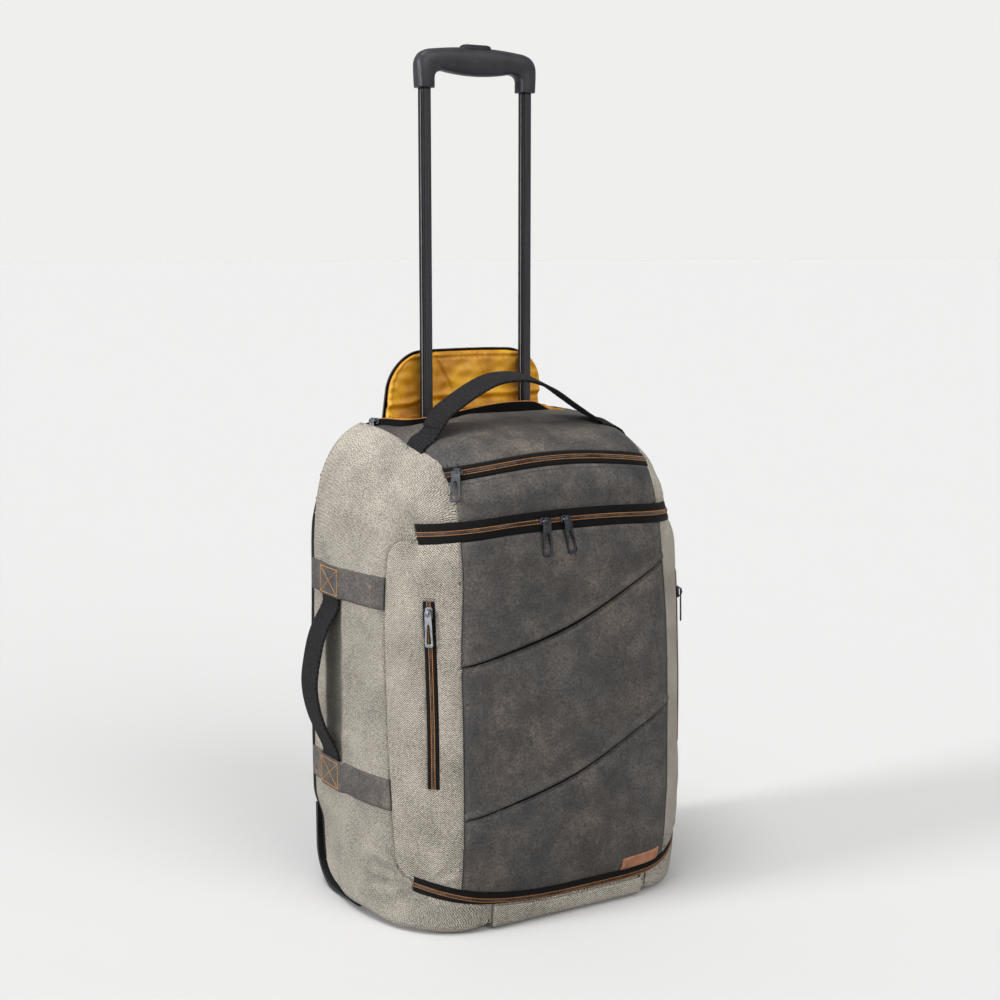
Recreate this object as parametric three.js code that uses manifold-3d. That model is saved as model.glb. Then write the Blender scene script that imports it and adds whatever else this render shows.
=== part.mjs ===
// Cabin trolley backpack: a soft wheeled bag with a telescopic handle, standing upright with the handle drawn out.
// Millimetres, +Z up, front towards -Y. The origin is the middle of the base of the bounding box.
import * as THREE from 'three';
import { mergeVertices } from 'three/addons/utils/BufferGeometryUtils.js';
import Module from 'manifold-3d';

const wasm = await Module();
wasm.setup();

// Driving sizes of the soft body
const REAR_Y = 110;
const FRONT_Y = -112;
const REAR_HALF = 205;
const FACE_HALF = 106;
const REAR_TOP = 549;
const FACE_TOP = 474;
const BASE_REAR = 8;
const BASE_FRONT = 2.5;
const FACE_BOTTOM = 8;
const HEEL = 40;
const SHOULDER = { rear: 390, front: 330 };
const BOTTOM_CORNER = 9;
const WIDTH_POWER = 3.9;
const TOP_POWER = 3.8;
const SHOULDER_POWER = 4.6;
const BOTTOM_POWER = 26;
const FACE_BULGE = 6;
const FACE_SPINE = { low: 150, high: 400 };
const WALL = 2.6;
const GAP = 0.35;
const FLATNESS = 0.14;

// How far the stuffed bag spreads sideways and bellies forward at each height
const BULGE_ROWS = [
  { z: 0, spread: 0.985, belly: 0 },
  { z: 30, spread: 0.997, belly: 3 },
  { z: 62, spread: 1.006, belly: 11 },
  { z: 130, spread: 1.016, belly: 15 },
  { z: 240, spread: 1.018, belly: 13 },
  { z: 350, spread: 1.006, belly: 7 },
  { z: 450, spread: 1.0, belly: 2 },
  { z: 560, spread: 1.0, belly: 0 },
];

// Seams and zips on the body
const LEATHER_HALF = 134;
const RIDGE_Y = -57;
const BACK_SEAM_Y = 101;
const BASE_SEAM_X = 110;
const MAIN_ZIP = { middle: 448, end: 439, half: 168, tape: 20 };
const TOP_ZIP = { middle: 513, end: 500, half: 134, tape: 14 };
const BASE_ZIP = { middle: 29, end: 58, half: 176, tape: 14, leftPower: 2, rightPower: 5, reach: 1.2 };
const SIDE_ZIP = { x: 162, low: 168, high: 370, tape: 12 };
const TEETH_WIDTH = 5;
const SLITS = { left: -134, lean: 0.157, curve: 0.00073, upper: 301, lower: 134, gap: 1.6 };

// Handle pocket, flap and telescopic handle
const POCKET = { half: 113, front: 58, rear: 100.5, corner: 17, floor: 486, lip: 545, wall: 1.5 };
const FLAP = { middle: -6, half: 98, top: 614, corner: 40, y: 105.8, curl: 7, thick: 1.6, tape: 7, lining: 1.2 };
const POLE = { x: 66, y: 86, wide: 12, deep: 14, corner: 4, wall: 1.4, foot: 444, head: 925 };
const TUBE = { wall: 2.2, clear: 0.4, foot: 24, head: 485.6 };
const BRACKET = { half: 82, front: 72, high: 46, upper: 458 };
const GRIP = { half: 78, deep: 22, socket: 914, under: 933, swell: 4, top: 961, rim: 5 };
const BUTTON = { half: 19, deep: 13, foot: 956.5, top: 964, pocket: 952 };

// Wheels and the guards that hold them
const WHEEL = { x: 169, y: 86, z: 30, radius: 30, wide: 24, hub: 20, bore: 4.4, axle: 4 };
const GUARD = { inner: 138, outer: 199, rear: 118.5, high: 96, toe: 6, under: 1.6, bend: 46, thick: 4.8 };
const WELL = { radius: 34.5, wall: 2.4, half: 15 };

// Webbing and trim
const TOP_HANDLE = { y: -20, width: 38, thick: 3.2, reach: 137, rise: 596 };
const SIDE_HANDLE = { y: 46, width: 40, thick: 3.2, high: 352, low: 176, reach: 238 };
const BANDS = { upper: [356, 391], lower: [137, 172], rear: 100, thick: 1.7 };
const FOOT = { half: 102, rear: -70, high: 41, thick: 4.4 };
const PATCH = { left: 71, right: 123, high: 15, thick: 1.4 };
const PIPING = { radius: 2.4, inset: 6, foot: 112, end: 118 };

const COLOURS = {
  weave: { color: 0xb3ad9f, roughness: 0.95, metalness: 0 },
  leather: { color: 0x4b4641, roughness: 0.72, metalness: 0 },
  black_cloth: { color: 0x1c1b1e, roughness: 0.9, metalness: 0 },
  lining: { color: 0xc8871b, roughness: 0.6, metalness: 0 },
  webbing: { color: 0x26252a, roughness: 0.85, metalness: 0 },
  copper_teeth: { color: 0xb0773b, roughness: 0.45, metalness: 0.2 },
  gun_metal: { color: 0x5d6168, roughness: 0.35, metalness: 0.8 },
  plastic: { color: 0x232327, roughness: 0.5, metalness: 0 },
  black_metal: { color: 0x1f1f22, roughness: 0.35, metalness: 0.6 },
  rubber: { color: 0x2a2a2c, roughness: 0.8, metalness: 0 },
  steel: { color: 0x8d9096, roughness: 0.4, metalness: 0.9 },
  tan_leather: { color: 0xb5703f, roughness: 0.65, metalness: 0 },
};

const SIDES = [
  { word: 'left', sign: -1 },
  { word: 'right', sign: 1 },
];
const FAR = 400;
const RIBBON_STEP = 33;
const bag = new THREE.Group();

// Solids: closed geometry in and out of the boolean kernel

function solidFrom(geometry) {
  const flat = geometry.index ? geometry.toNonIndexed() : geometry;
  const bare = new THREE.BufferGeometry();
  bare.setAttribute('position', flat.getAttribute('position').clone());
  const welded = mergeVertices(bare, 1e-4);
  return new wasm.Manifold(
    new wasm.Mesh({
      numProp: 3,
      vertProperties: welded.attributes.position.array,
      triVerts: new Uint32Array(welded.index.array),
    }),
  );
}

function geometryFrom(solid) {
  const mesh = solid.simplify(FLATNESS).getMesh();
  const positions = new Float32Array(mesh.numVert * 3);
  for (let i = 0; i < mesh.numVert; i++) {
    positions.set(mesh.vertProperties.subarray(i * mesh.numProp, i * mesh.numProp + 3), i * 3);
  }
  const geometry = new THREE.BufferGeometry();
  geometry.setAttribute('position', new THREE.BufferAttribute(positions, 3));
  geometry.setIndex(new THREE.BufferAttribute(mesh.triVerts, 1));
  geometry.computeVertexNormals();
  return geometry;
}

function addPiece(name, shape, colour) {
  const geometry = shape.isBufferGeometry ? shape : geometryFrom(shape);
  const mesh = new THREE.Mesh(geometry, new THREE.MeshStandardMaterial(COLOURS[colour]));
  mesh.name = name;
  bag.add(mesh);
  return mesh;
}

function block(x0, x1, y0, y1, z0, z1) {
  const box = new THREE.BoxGeometry(x1 - x0, y1 - y0, z1 - z0);
  box.translate((x0 + x1) / 2, (y0 + y1) / 2, (z0 + z1) / 2);
  return solidFrom(box);
}

// A flat outline drawn in x and z, pushed along y
function frontPrism(shape, y0, y1, curveSegments = 10) {
  const geometry = new THREE.ExtrudeGeometry(shape, { depth: y1 - y0, bevelEnabled: false, curveSegments });
  geometry.rotateX(Math.PI / 2);
  geometry.translate(0, y1, 0);
  return solidFrom(geometry);
}

// A flat outline drawn in y and z, pushed along x
function sidePrism(shape, x0, x1, curveSegments = 5) {
  const geometry = new THREE.ExtrudeGeometry(shape, { depth: x1 - x0, bevelEnabled: false, curveSegments });
  const turn = new THREE.Matrix4().makeBasis(
    new THREE.Vector3(0, 1, 0),
    new THREE.Vector3(0, 0, 1),
    new THREE.Vector3(1, 0, 0),
  );
  geometry.applyMatrix4(turn);
  geometry.translate(x0, 0, 0);
  return solidFrom(geometry);
}

// A flat outline drawn in x and y, pushed along z
function topPrism(shape, z0, z1, curveSegments = 2) {
  const geometry = new THREE.ExtrudeGeometry(shape, { depth: z1 - z0, bevelEnabled: false, curveSegments });
  geometry.translate(0, 0, z0);
  return solidFrom(geometry);
}

function roundedBox2D(x0, x1, y0, y1, r) {
  const shape = new THREE.Shape();
  shape.moveTo(x0 + r, y0);
  shape.lineTo(x1 - r, y0);
  shape.absarc(x1 - r, y0 + r, r, -Math.PI / 2, 0);
  shape.lineTo(x1, y1 - r);
  shape.absarc(x1 - r, y1 - r, r, 0, Math.PI / 2);
  shape.lineTo(x0 + r, y1);
  shape.absarc(x0 + r, y1 - r, r, Math.PI / 2, Math.PI);
  shape.lineTo(x0, y0 + r);
  shape.absarc(x0 + r, y0 + r, r, Math.PI, 1.5 * Math.PI);
  return shape;
}

// A band between two curves z(x), drawn in x and z on stations shared by all bands
function ribbon2D(x0, x1, lowAt, highAt) {
  const stations = [x0];
  for (let x = Math.ceil(x0 / RIBBON_STEP) * RIBBON_STEP; x < x1 - 1; x += RIBBON_STEP) {
    if (x > x0 + 1) stations.push(x);
  }
  stations.push(x1);
  const low = stations.map((x) => new THREE.Vector2(x, lowAt(x)));
  const high = stations.map((x) => new THREE.Vector2(x, highAt(x))).reverse();
  return new THREE.Shape([...low, ...high]);
}

// A sheet over a surface point(u, v), given a thickness behind its face
function sheetSolid(point, uSteps, vSteps, thickness) {
  const face = [];
  const back = [];
  const step = 1e-3;
  for (let j = 0; j <= vSteps; j++) {
    for (let i = 0; i <= uSteps; i++) {
      const u = i / uSteps;
      const v = j / vSteps;
      const here = point(u, v);
      const alongU = point(u + step, v).sub(point(u - step, v));
      const alongV = point(u, v + step).sub(point(u, v - step));
      const normal = alongU.cross(alongV).normalize();
      face.push(here);
      back.push(here.clone().addScaledVector(normal, -thickness));
    }
  }
  const row = uSteps + 1;
  const behind = face.length;
  const index = [];
  const quad = (a, b, c, d) => index.push(a, b, c, a, c, d);
  for (let j = 0; j < vSteps; j++) {
    for (let i = 0; i < uSteps; i++) {
      const a = j * row + i;
      quad(a, a + 1, a + row + 1, a + row);
      quad(behind + a, behind + a + row, behind + a + row + 1, behind + a + 1);
    }
  }
  const top = vSteps * row;
  for (let i = 0; i < uSteps; i++) {
    quad(i, behind + i, behind + i + 1, i + 1);
    quad(top + i, top + i + 1, behind + top + i + 1, behind + top + i);
  }
  for (let j = 0; j < vSteps; j++) {
    const a = j * row;
    const b = a + uSteps;
    quad(a, a + row, behind + a + row, behind + a);
    quad(b, behind + b, behind + b + row, b + row);
  }
  const geometry = new THREE.BufferGeometry().setFromPoints([...face, ...back]);
  geometry.setIndex(index);
  return solidFrom(geometry);
}

// Webbing: a strip of even thickness along a path in x and z, rising towards the rear by a tilt
function webbing(points, thickness, y0, y1, tilt = 0) {
  const curve = new THREE.CatmullRomCurve3(points.map(([x, z]) => new THREE.Vector3(x, z, 0)));
  const steps = points.length * 2;
  const outer = [];
  const inner = [];
  for (let k = 0; k <= steps; k++) {
    const at = curve.getPoint(k / steps);
    const along = curve.getTangent(k / steps);
    const across = new THREE.Vector3(-along.y, along.x, 0).multiplyScalar(thickness / 2);
    outer.push(at.clone().add(across));
    inner.unshift(at.clone().sub(across));
  }
  const shape = new THREE.Shape([...outer, ...inner].map((p) => new THREE.Vector2(p.x, p.y)));
  const lean = new THREE.Matrix4().set(1, 0, 0, 0, 0, 1, 0, 0, 0, tilt, 1, (-tilt * (y0 + y1)) / 2, 0, 0, 0, 1);
  return solidFrom(geometryFrom(frontPrism(shape, y0, y1)).applyMatrix4(lean));
}

// Body form: arched sections from the back to the front, closed by a bulging front face

function bulgeAt(z, column) {
  const last = BULGE_ROWS.length - 1;
  const k = Math.max(0, BULGE_ROWS.findLastIndex((row) => row.z <= z));
  if (k >= last) return BULGE_ROWS[last][column];
  const share = Math.max(0, (z - BULGE_ROWS[k].z) / (BULGE_ROWS[k + 1].z - BULGE_ROWS[k].z));
  const ease = share * share * (3 - 2 * share);
  return THREE.MathUtils.lerp(BULGE_ROWS[k][column], BULGE_ROWS[k + 1][column], ease);
}

const rim = (share, power) => Math.sqrt(Math.max(0, 1 - share ** power));

function sectionAt(share) {
  const settle = THREE.MathUtils.smoothstep(share, 0.45, 0.8);
  const fromHeel = Math.max(0, HEEL - share * (REAR_Y - FRONT_Y));
  const heel = HEEL - Math.sqrt(HEEL * HEEL - fromHeel * fromHeel);
  const base = THREE.MathUtils.lerp(BASE_REAR, BASE_FRONT, settle) + heel;
  return {
    half: FACE_HALF + (REAR_HALF - FACE_HALF) * rim(share, WIDTH_POWER),
    top: FACE_TOP + (REAR_TOP - FACE_TOP) * rim(share, TOP_POWER),
    bottom: FACE_BOTTOM - (FACE_BOTTOM - base) * rim(share, BOTTOM_POWER),
    shoulder: THREE.MathUtils.lerp(SHOULDER.rear, SHOULDER.front, THREE.MathUtils.smoothstep(share, 0.1, 0.85)),
  };
}

const TOP_SHARES = [1, 0.988, 0.95, 0.88, 0.78, 0.65, 0.35, 0];
const SIDE_STEPS = 5;
const CORNER_STEPS = 2;
const BASE_STEPS = 2;

// Right half of a section from the middle of its base to the middle of its top
function halfSection({ half, top, bottom, shoulder }) {
  const points = [];
  const foot = bottom + BOTTOM_CORNER;
  const footHalf = half * bulgeAt(foot, 'spread');
  for (let k = 0; k < BASE_STEPS; k++) points.push([((footHalf - BOTTOM_CORNER) * k) / BASE_STEPS, bottom]);
  for (let k = 0; k < CORNER_STEPS; k++) {
    const turn = (k / CORNER_STEPS - 1) * (Math.PI / 2);
    const lift = BOTTOM_CORNER * (1 + Math.sin(turn));
    points.push([footHalf - BOTTOM_CORNER * (1 - Math.cos(turn)), bottom + lift]);
  }
  for (let k = 0; k < SIDE_STEPS; k++) {
    const z = foot + ((shoulder - foot) * k) / SIDE_STEPS;
    points.push([half * bulgeAt(z, 'spread'), z]);
  }
  for (const share of TOP_SHARES) {
    const z = shoulder + (top - shoulder) * rim(share, SHOULDER_POWER);
    points.push([half * share * bulgeAt(z, 'spread'), z]);
  }
  return points;
}

// One closed section; inset draws it in by millimetres, closing by a share of the way to the spine of the face
function ring(share, y, inset = 0, closing = 0) {
  const right = halfSection(sectionAt(share));
  const left = right.slice(1, -1).reverse().map(([x, z]) => [-x, z]);
  return [...right, ...left].map(([x, z]) => {
    const spine = new THREE.Vector3(0, y, THREE.MathUtils.clamp(z, FACE_SPINE.low, FACE_SPINE.high));
    const at = new THREE.Vector3(x, y, z);
    at.lerp(spine, closing + inset / at.distanceTo(spine));
    at.y -= bulgeAt(at.z, 'belly') * share ** 4;
    return at;
  });
}

const DEPTH_SHARES = [0.075, 0.18, 0.42, 0.6, 0.73, 0.83, 0.905, 0.955, 0.987, 1];
const FACE_SHARES = [0.22, 0.5, 0.82];
const REAR_EDGE = [
  { inset: 8, back: 0 },
  { inset: 2.5, back: 2 },
  { inset: 0, back: 7 },
];

function bodyRings() {
  const depth = REAR_Y - FRONT_Y;
  return [
    ...REAR_EDGE.map(({ inset, back }) => ring(back / depth, REAR_Y - back, inset)),
    ...DEPTH_SHARES.map((share) => ring(share, REAR_Y - depth * share)),
    ...FACE_SHARES.map((share) => ring(1, FRONT_Y - FACE_BULGE * (1 - (1 - share ** 2) ** 2), 0, share)),
  ];
}

function bodyGeometry() {
  const rings = bodyRings();
  const count = rings[0].length;
  const index = [];
  for (let j = 0; j + 1 < rings.length; j++) {
    for (let i = 0; i < count; i++) {
      const a = j * count + i;
      const b = j * count + ((i + 1) % count);
      index.push(a, b, b + count, a, b + count, a + count);
    }
  }
  const capOf = (points) => THREE.ShapeUtils.triangulateShape(points.map((p) => new THREE.Vector2(p.x, p.z)), []);
  const last = (rings.length - 1) * count;
  for (const [a, b, c] of capOf(rings[0])) index.push(a, c, b);
  for (const [a, b, c] of capOf(rings.at(-1))) index.push(last + a, last + b, last + c);
  const geometry = new THREE.BufferGeometry().setFromPoints(rings.flat());
  geometry.setIndex(index);
  geometry.computeVertexNormals();
  return geometry;
}

const form = bodyGeometry();
const formMesh = new THREE.Mesh(form, new THREE.MeshStandardMaterial({ side: THREE.DoubleSide }));
const skins = new Map();

// The body form grown by an offset, kept for reuse
function grown(offset) {
  if (!skins.has(offset)) {
    const geometry = form.clone();
    const at = geometry.getAttribute('position');
    const out = geometry.getAttribute('normal');
    for (let i = 0; i < at.count; i++) {
      at.setXYZ(i, at.getX(i) + out.getX(i) * offset, at.getY(i) + out.getY(i) * offset, at.getZ(i) + out.getZ(i) * offset);
    }
    skins.set(offset, solidFrom(geometry));
  }
  return skins.get(offset);
}

const layer = (inner, outer) => grown(outer).subtract(grown(inner));
const ray = new THREE.Raycaster();

function meet(origin, direction) {
  ray.set(origin, direction);
  const [hit] = ray.intersectObject(formMesh);
  return { point: hit.point, normal: hit.face.normal.clone().normalize() };
}

const frontAt = (x, z) => meet(new THREE.Vector3(x, -FAR, z), new THREE.Vector3(0, 1, 0));
const topAt = (x, y) => meet(new THREE.Vector3(x, y, 2 * FAR), new THREE.Vector3(0, 0, -1));
const sideAt = (sign, y, z) => meet(new THREE.Vector3(sign * FAR, y, z), new THREE.Vector3(-sign, 0, 0));

// Cloth and leather panels, cut from the body wall along their seams

const parabola = (middle, end, half) => (x) => middle + (end - middle) * (x / half) ** 2;
const topZipLine = parabola(TOP_ZIP.middle, TOP_ZIP.end, TOP_ZIP.half);
const mainZipLine = parabola(MAIN_ZIP.middle, MAIN_ZIP.end, MAIN_ZIP.half);
const shifted = (line, by) => (x) => line(x) + by;

// The base zip climbs evenly to the left, and on the right only near its end
function baseZipLine(x) {
  const share = Math.min(BASE_ZIP.reach, Math.abs(x) / BASE_ZIP.half);
  const power = x < 0 ? BASE_ZIP.leftPower : BASE_ZIP.rightPower;
  return BASE_ZIP.middle + (BASE_ZIP.end - BASE_ZIP.middle) * share ** power;
}

const slitLine = (start) => (x) => {
  const run = Math.max(0, x - SLITS.left);
  return start + SLITS.lean * run + SLITS.curve * run * run;
};

// Everything in front of a plane across the bag and between two curves
function frontBand(half, lowAt, highAt, rear = RIDGE_Y) {
  return frontPrism(ribbon2D(-half, half, lowAt, highAt), -FAR, rear);
}

// The room a zip takes out of the panels round it
function zipRoom(half, line, tape, rear) {
  const spare = tape / 2 + GAP + 0.5;
  return frontBand(half + GAP, shifted(line, -spare), shifted(line, spare), rear);
}

function wheelRoom(sign) {
  const round = new THREE.Shape();
  const radius = WELL.radius + WELL.wall + GAP;
  round.moveTo(FAR, -10);
  round.lineTo(FAR, WHEEL.z + radius);
  round.lineTo(WHEEL.y, WHEEL.z + radius);
  round.absarc(WHEEL.y, WHEEL.z, radius, Math.PI / 2, Math.PI);
  round.lineTo(WHEEL.y - radius, -10);
  const half = WELL.half + WELL.wall + GAP;
  return sidePrism(round, sign * WHEEL.x - half, sign * WHEEL.x + half);
}

const pocketOutline = (grow) =>
  roundedBox2D(
    -POCKET.half - grow,
    POCKET.half + grow,
    POCKET.front - grow,
    POCKET.rear + grow,
    POCKET.corner,
  );

function addPanels() {
  const wall = layer(-WALL, 0);
  const wheels = wheelRoom(-1).add(wheelRoom(1));
  const mainRoom = zipRoom(MAIN_ZIP.half, mainZipLine, MAIN_ZIP.tape, RIDGE_Y);
  const baseRoom = zipRoom(BASE_ZIP.half, baseZipLine, BASE_ZIP.tape, RIDGE_Y);
  const door = frontBand(
    FAR,
    shifted(baseZipLine, BASE_ZIP.tape / 2 + GAP),
    shifted(mainZipLine, -MAIN_ZIP.tape / 2 - GAP),
  );

  const behind = block(-FAR, FAR, BACK_SEAM_Y, FAR, -FAR, 2 * FAR);
  const ahead = block(-FAR, FAR, -FAR, BACK_SEAM_Y - GAP, -FAR, 2 * FAR);
  const opening = topPrism(pocketOutline(3), SHOULDER.rear, 2 * FAR);
  addPiece('back_panel', wall.intersect(behind).subtract(wheels).subtract(opening), 'black_cloth');

  const doorRoom = door.add(block(-FAR, FAR, -FAR, RIDGE_Y + GAP, 80, MAIN_ZIP.end - MAIN_ZIP.tape));
  const body = wall.intersect(ahead).subtract(wheels).subtract(mainRoom).subtract(baseRoom);
  const shell = body.subtract(doorRoom);
  for (const { word, sign } of SIDES) {
    const outer = sign * FAR;
    const seam = sign * (LEATHER_HALF + GAP);
    const baseSeam = sign * (BASE_SEAM_X + GAP);
    const flank = block(Math.min(seam, outer), Math.max(seam, outer), -FAR, FAR, 75, 2 * FAR);
    const toe = block(Math.min(baseSeam, outer), Math.max(baseSeam, outer), -FAR, FAR, -FAR, 75);
    addPiece(`side_panel_${word}`, shell.intersect(flank.add(toe)), 'weave');
  }
  const baseBox = block(-BASE_SEAM_X, BASE_SEAM_X, -FAR, FAR, -FAR, 75);
  addPiece('base_panel', shell.intersect(baseBox), 'weave');

  const strip = block(-LEATHER_HALF, LEATHER_HALF, -FAR, FAR, 200, 2 * FAR);
  const leather = shell.intersect(strip);
  const aboveZip = shifted(topZipLine, TOP_ZIP.tape / 2 + GAP);
  const belowZip = shifted(topZipLine, -TOP_ZIP.tape / 2 - GAP);
  const zipEnds = LEATHER_HALF + 5;
  const nose = frontBand(zipEnds, () => 200, aboveZip, 0);
  const pocket = frontBand(zipEnds, () => 200, belowZip, 0);
  addPiece('top_panel', leather.subtract(opening).subtract(nose), 'leather');
  addPiece('top_pocket_panel', leather.intersect(pocket), 'leather');

  const doorWall = wall.intersect(ahead).intersect(door);
  for (const { word, sign } of SIDES) {
    const outer = sign * FAR;
    const seam = sign * (LEATHER_HALF + GAP);
    const margin = block(Math.min(seam, outer), Math.max(seam, outer), -FAR, FAR, 0, FAR + 80);
    const room = SIDE_ZIP.tape / 2 + GAP;
    const slot = block(sign * SIDE_ZIP.x - room, sign * SIDE_ZIP.x + room, -FAR, 0, SIDE_ZIP.low - GAP, SIDE_ZIP.high + GAP);
    addPiece(`door_margin_${word}`, doorWall.intersect(margin).subtract(slot), 'weave');
  }

  const front = doorWall.intersect(block(-LEATHER_HALF, LEATHER_HALF, -FAR, FAR, 0, FAR + 80));
  const upperSlit = slitLine(SLITS.upper);
  const lowerSlit = slitLine(SLITS.lower);
  const half = SLITS.gap / 2;
  const rows = [
    { name: 'front_panel_upper', low: shifted(upperSlit, half), high: () => FAR + 80 },
    { name: 'front_panel_middle', low: shifted(lowerSlit, half), high: shifted(upperSlit, -half) },
    { name: 'front_panel_lower', low: () => 0, high: shifted(lowerSlit, -half) },
  ];
  for (const { name, low, high } of rows) {
    addPiece(name, front.intersect(frontBand(LEATHER_HALF + 1, low, high, 0)), 'leather');
  }
}

// Zips: a sunk tape, a raised row of teeth and a hanging pull

function addFrontZip(name, half, line, tape, rear) {
  const room = frontBand(half, shifted(line, -tape / 2), shifted(line, tape / 2), rear);
  const row = frontBand(half - 4, shifted(line, -TEETH_WIDTH / 2), shifted(line, TEETH_WIDTH / 2), rear);
  addPiece(`${name}_tape`, layer(-2.2, -0.5).intersect(room), 'black_cloth');
  addPiece(`${name}_teeth`, layer(-0.2, 1).intersect(row), 'copper_teeth');
}

function addSideZips() {
  for (const { word, sign } of SIDES) {
    const middle = sign * SIDE_ZIP.x;
    const tape = block(middle - SIDE_ZIP.tape / 2, middle + SIDE_ZIP.tape / 2, -FAR, 0, SIDE_ZIP.low, SIDE_ZIP.high);
    const row = block(middle - 2.2, middle + 2.2, -FAR, 0, SIDE_ZIP.low + 3, SIDE_ZIP.high - 3);
    addPiece(`side_zip_tape_${word}`, layer(-2.2, -0.5).intersect(tape), 'black_cloth');
    addPiece(`side_zip_teeth_${word}`, layer(-0.2, 1).intersect(row), 'copper_teeth');
  }
}

// A slider with a slotted pull, hanging down from its top; drawn in x and z with its back at y = 0
function pullSolid(length, width) {
  const body = block(-4.2, 4.2, -3, 0, -5.5, 5.5);
  const bridge = block(-1.6, 1.6, -5.4, -2.5, -4.4, 3.4);
  const plate = roundedBox2D(-width / 2, width / 2, -length, 1.5, width / 3);
  plate.holes.push(roundedBox2D(-width / 2 + 2.6, width / 2 - 2.6, 5.5 - length, -5, 1.5));
  return body.add(bridge).add(frontPrism(plate, -5.2, -3.4, 1));
}

// Lays a pull on the body with its back just off the teeth and its length down a direction on the surface
function placePull(name, { point, normal }, down, length, width) {
  const out = normal.clone().negate();
  const upward = down.clone().negate();
  upward.addScaledVector(out, -upward.dot(out)).normalize();
  const across = new THREE.Vector3().crossVectors(out, upward);
  const at = point.clone().addScaledVector(normal, 1.4);
  const turn = new THREE.Matrix4().makeBasis(across, out, upward).setPosition(at);
  const geometry = geometryFrom(pullSolid(length, width)).applyMatrix4(turn);
  addPiece(name, geometry, 'gun_metal');
}

function addPulls() {
  const down = new THREE.Vector3(0, 0, -1);
  const leaning = new THREE.Vector3(0.14, 0, -1);
  placePull('main_zip_pull_left', frontAt(-31, mainZipLine(-31)), down, 40, 11);
  placePull('main_zip_pull_right', frontAt(-5, mainZipLine(-5)), leaning, 40, 11);
  placePull('top_zip_pull', frontAt(-120, topZipLine(-120)), down, 36, 10);
  for (const { word, sign } of SIDES) {
    const drop = sign < 0 ? 9 : 26;
    placePull(`side_zip_pull_${word}`, frontAt(sign * SIDE_ZIP.x, SIDE_ZIP.high - drop), down, 34, 9);
  }
}

// Handle pocket in the top, its standing zip and the flap that is thrown back

const lipWave = (x) => 552 + 7 * Math.cos(((x - 38) / POCKET.half) * 2.4);

function addHandlePocket() {
  const outside = topPrism(pocketOutline(0), POCKET.floor, POCKET.lip);
  const inside = topPrism(pocketOutline(-POCKET.wall), POCKET.floor + POCKET.wall, 2 * FAR);
  let lining = outside.subtract(inside);
  for (const { sign } of SIDES) {
    lining = lining.subtract(topPrism(poleOutline(sign, 0.8), 0, POCKET.floor + 10));
  }
  addPiece('handle_pocket_lining', lining, 'lining');

  const ahead = block(-FAR, FAR, 0, POCKET.rear - POCKET.corner, 0, 2 * FAR);
  const loop = topPrism(pocketOutline(2.4), 532, 600).subtract(topPrism(pocketOutline(0.5), 500, 700));
  const reach = POCKET.half + 10;
  const room = frontPrism(ribbon2D(-reach, reach, () => 536, shifted(lipWave, -2.4)), 0, FAR);
  addPiece('pocket_zip_tape', loop.intersect(ahead).intersect(room), 'black_cloth');
  const edge = frontPrism(ribbon2D(-reach, reach, shifted(lipWave, -2.1), lipWave), 0, FAR);
  addPiece('pocket_zip_teeth', loop.intersect(ahead).intersect(edge), 'copper_teeth');
}

// A point on the flap; inset draws the outline in and forward brings the sheet towards the front
function flapPoint(u, v, inset, forward) {
  const half = FLAP.half - inset;
  const top = FLAP.top - inset;
  const corner = FLAP.corner - inset;
  const side = 2 * u - 1;
  const foot = topAt(FLAP.middle + side * half, FLAP.y - 3).point.z + 0.5;
  const z = foot + (top - foot) * v;
  const over = Math.max(0, z - (top - corner));
  const x = side * (half - corner + Math.sqrt(Math.max(0, corner * corner - over * over)));
  const curl = FLAP.curl * Math.abs(x / FLAP.half) ** 3 * Math.max(0, v);
  return new THREE.Vector3(FLAP.middle + x, FLAP.y - curl - forward, z);
}

// A point on the zip tape round the flap: u runs up the left side, over the top and down the right side
function flapTapePoint(u, v) {
  const straight = FLAP.half - FLAP.corner;
  const foot = topAt(FLAP.half, FLAP.y - 3).point.z + 4;
  const rise = FLAP.top - FLAP.corner - foot;
  const bend = (FLAP.corner * Math.PI) / 2;
  const half = rise + bend + straight;
  const along = u * 2 * half;
  const side = along < half ? -1 : 1;
  const run = along < half ? along : 2 * half - along;
  const out = GAP + v * FLAP.tape;
  const turn = THREE.MathUtils.clamp((run - rise) / FLAP.corner, 0, Math.PI / 2);
  const radius = FLAP.corner + out;
  const level = Math.max(0, run - rise - bend);
  const x = side * (straight + radius * Math.cos(turn) - level);
  const z = foot + Math.min(run, rise) + radius * Math.sin(turn);
  const share = THREE.MathUtils.clamp((z - foot) / (FLAP.top - foot), 0, 1);
  const curl = FLAP.curl * Math.min(1.1, Math.abs(x / FLAP.half)) ** 3 * share;
  return new THREE.Vector3(FLAP.middle + x, FLAP.y - curl, z);
}

function addFlap() {
  addPiece('flap_outer', sheetSolid((u, v) => flapPoint(u, v, 0, 0), 10, 6, FLAP.thick), 'black_cloth');
  const forward = GAP + FLAP.lining;
  addPiece('flap_lining', sheetSolid((u, v) => flapPoint(u, v, 2, forward), 10, 6, FLAP.lining), 'lining');
  addPiece('flap_zip_tape', sheetSolid(flapTapePoint, 26, 1, 1.4), 'black_cloth');
}

// Telescopic handle: two poles in hidden guide tubes, a grip and its button

function poleOutline(sign, grow) {
  return roundedBox2D(
    sign * POLE.x - POLE.wide / 2 - grow,
    sign * POLE.x + POLE.wide / 2 + grow,
    POLE.y - POLE.deep / 2 - grow,
    POLE.y + POLE.deep / 2 + grow,
    POLE.corner + grow,
  );
}

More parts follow.
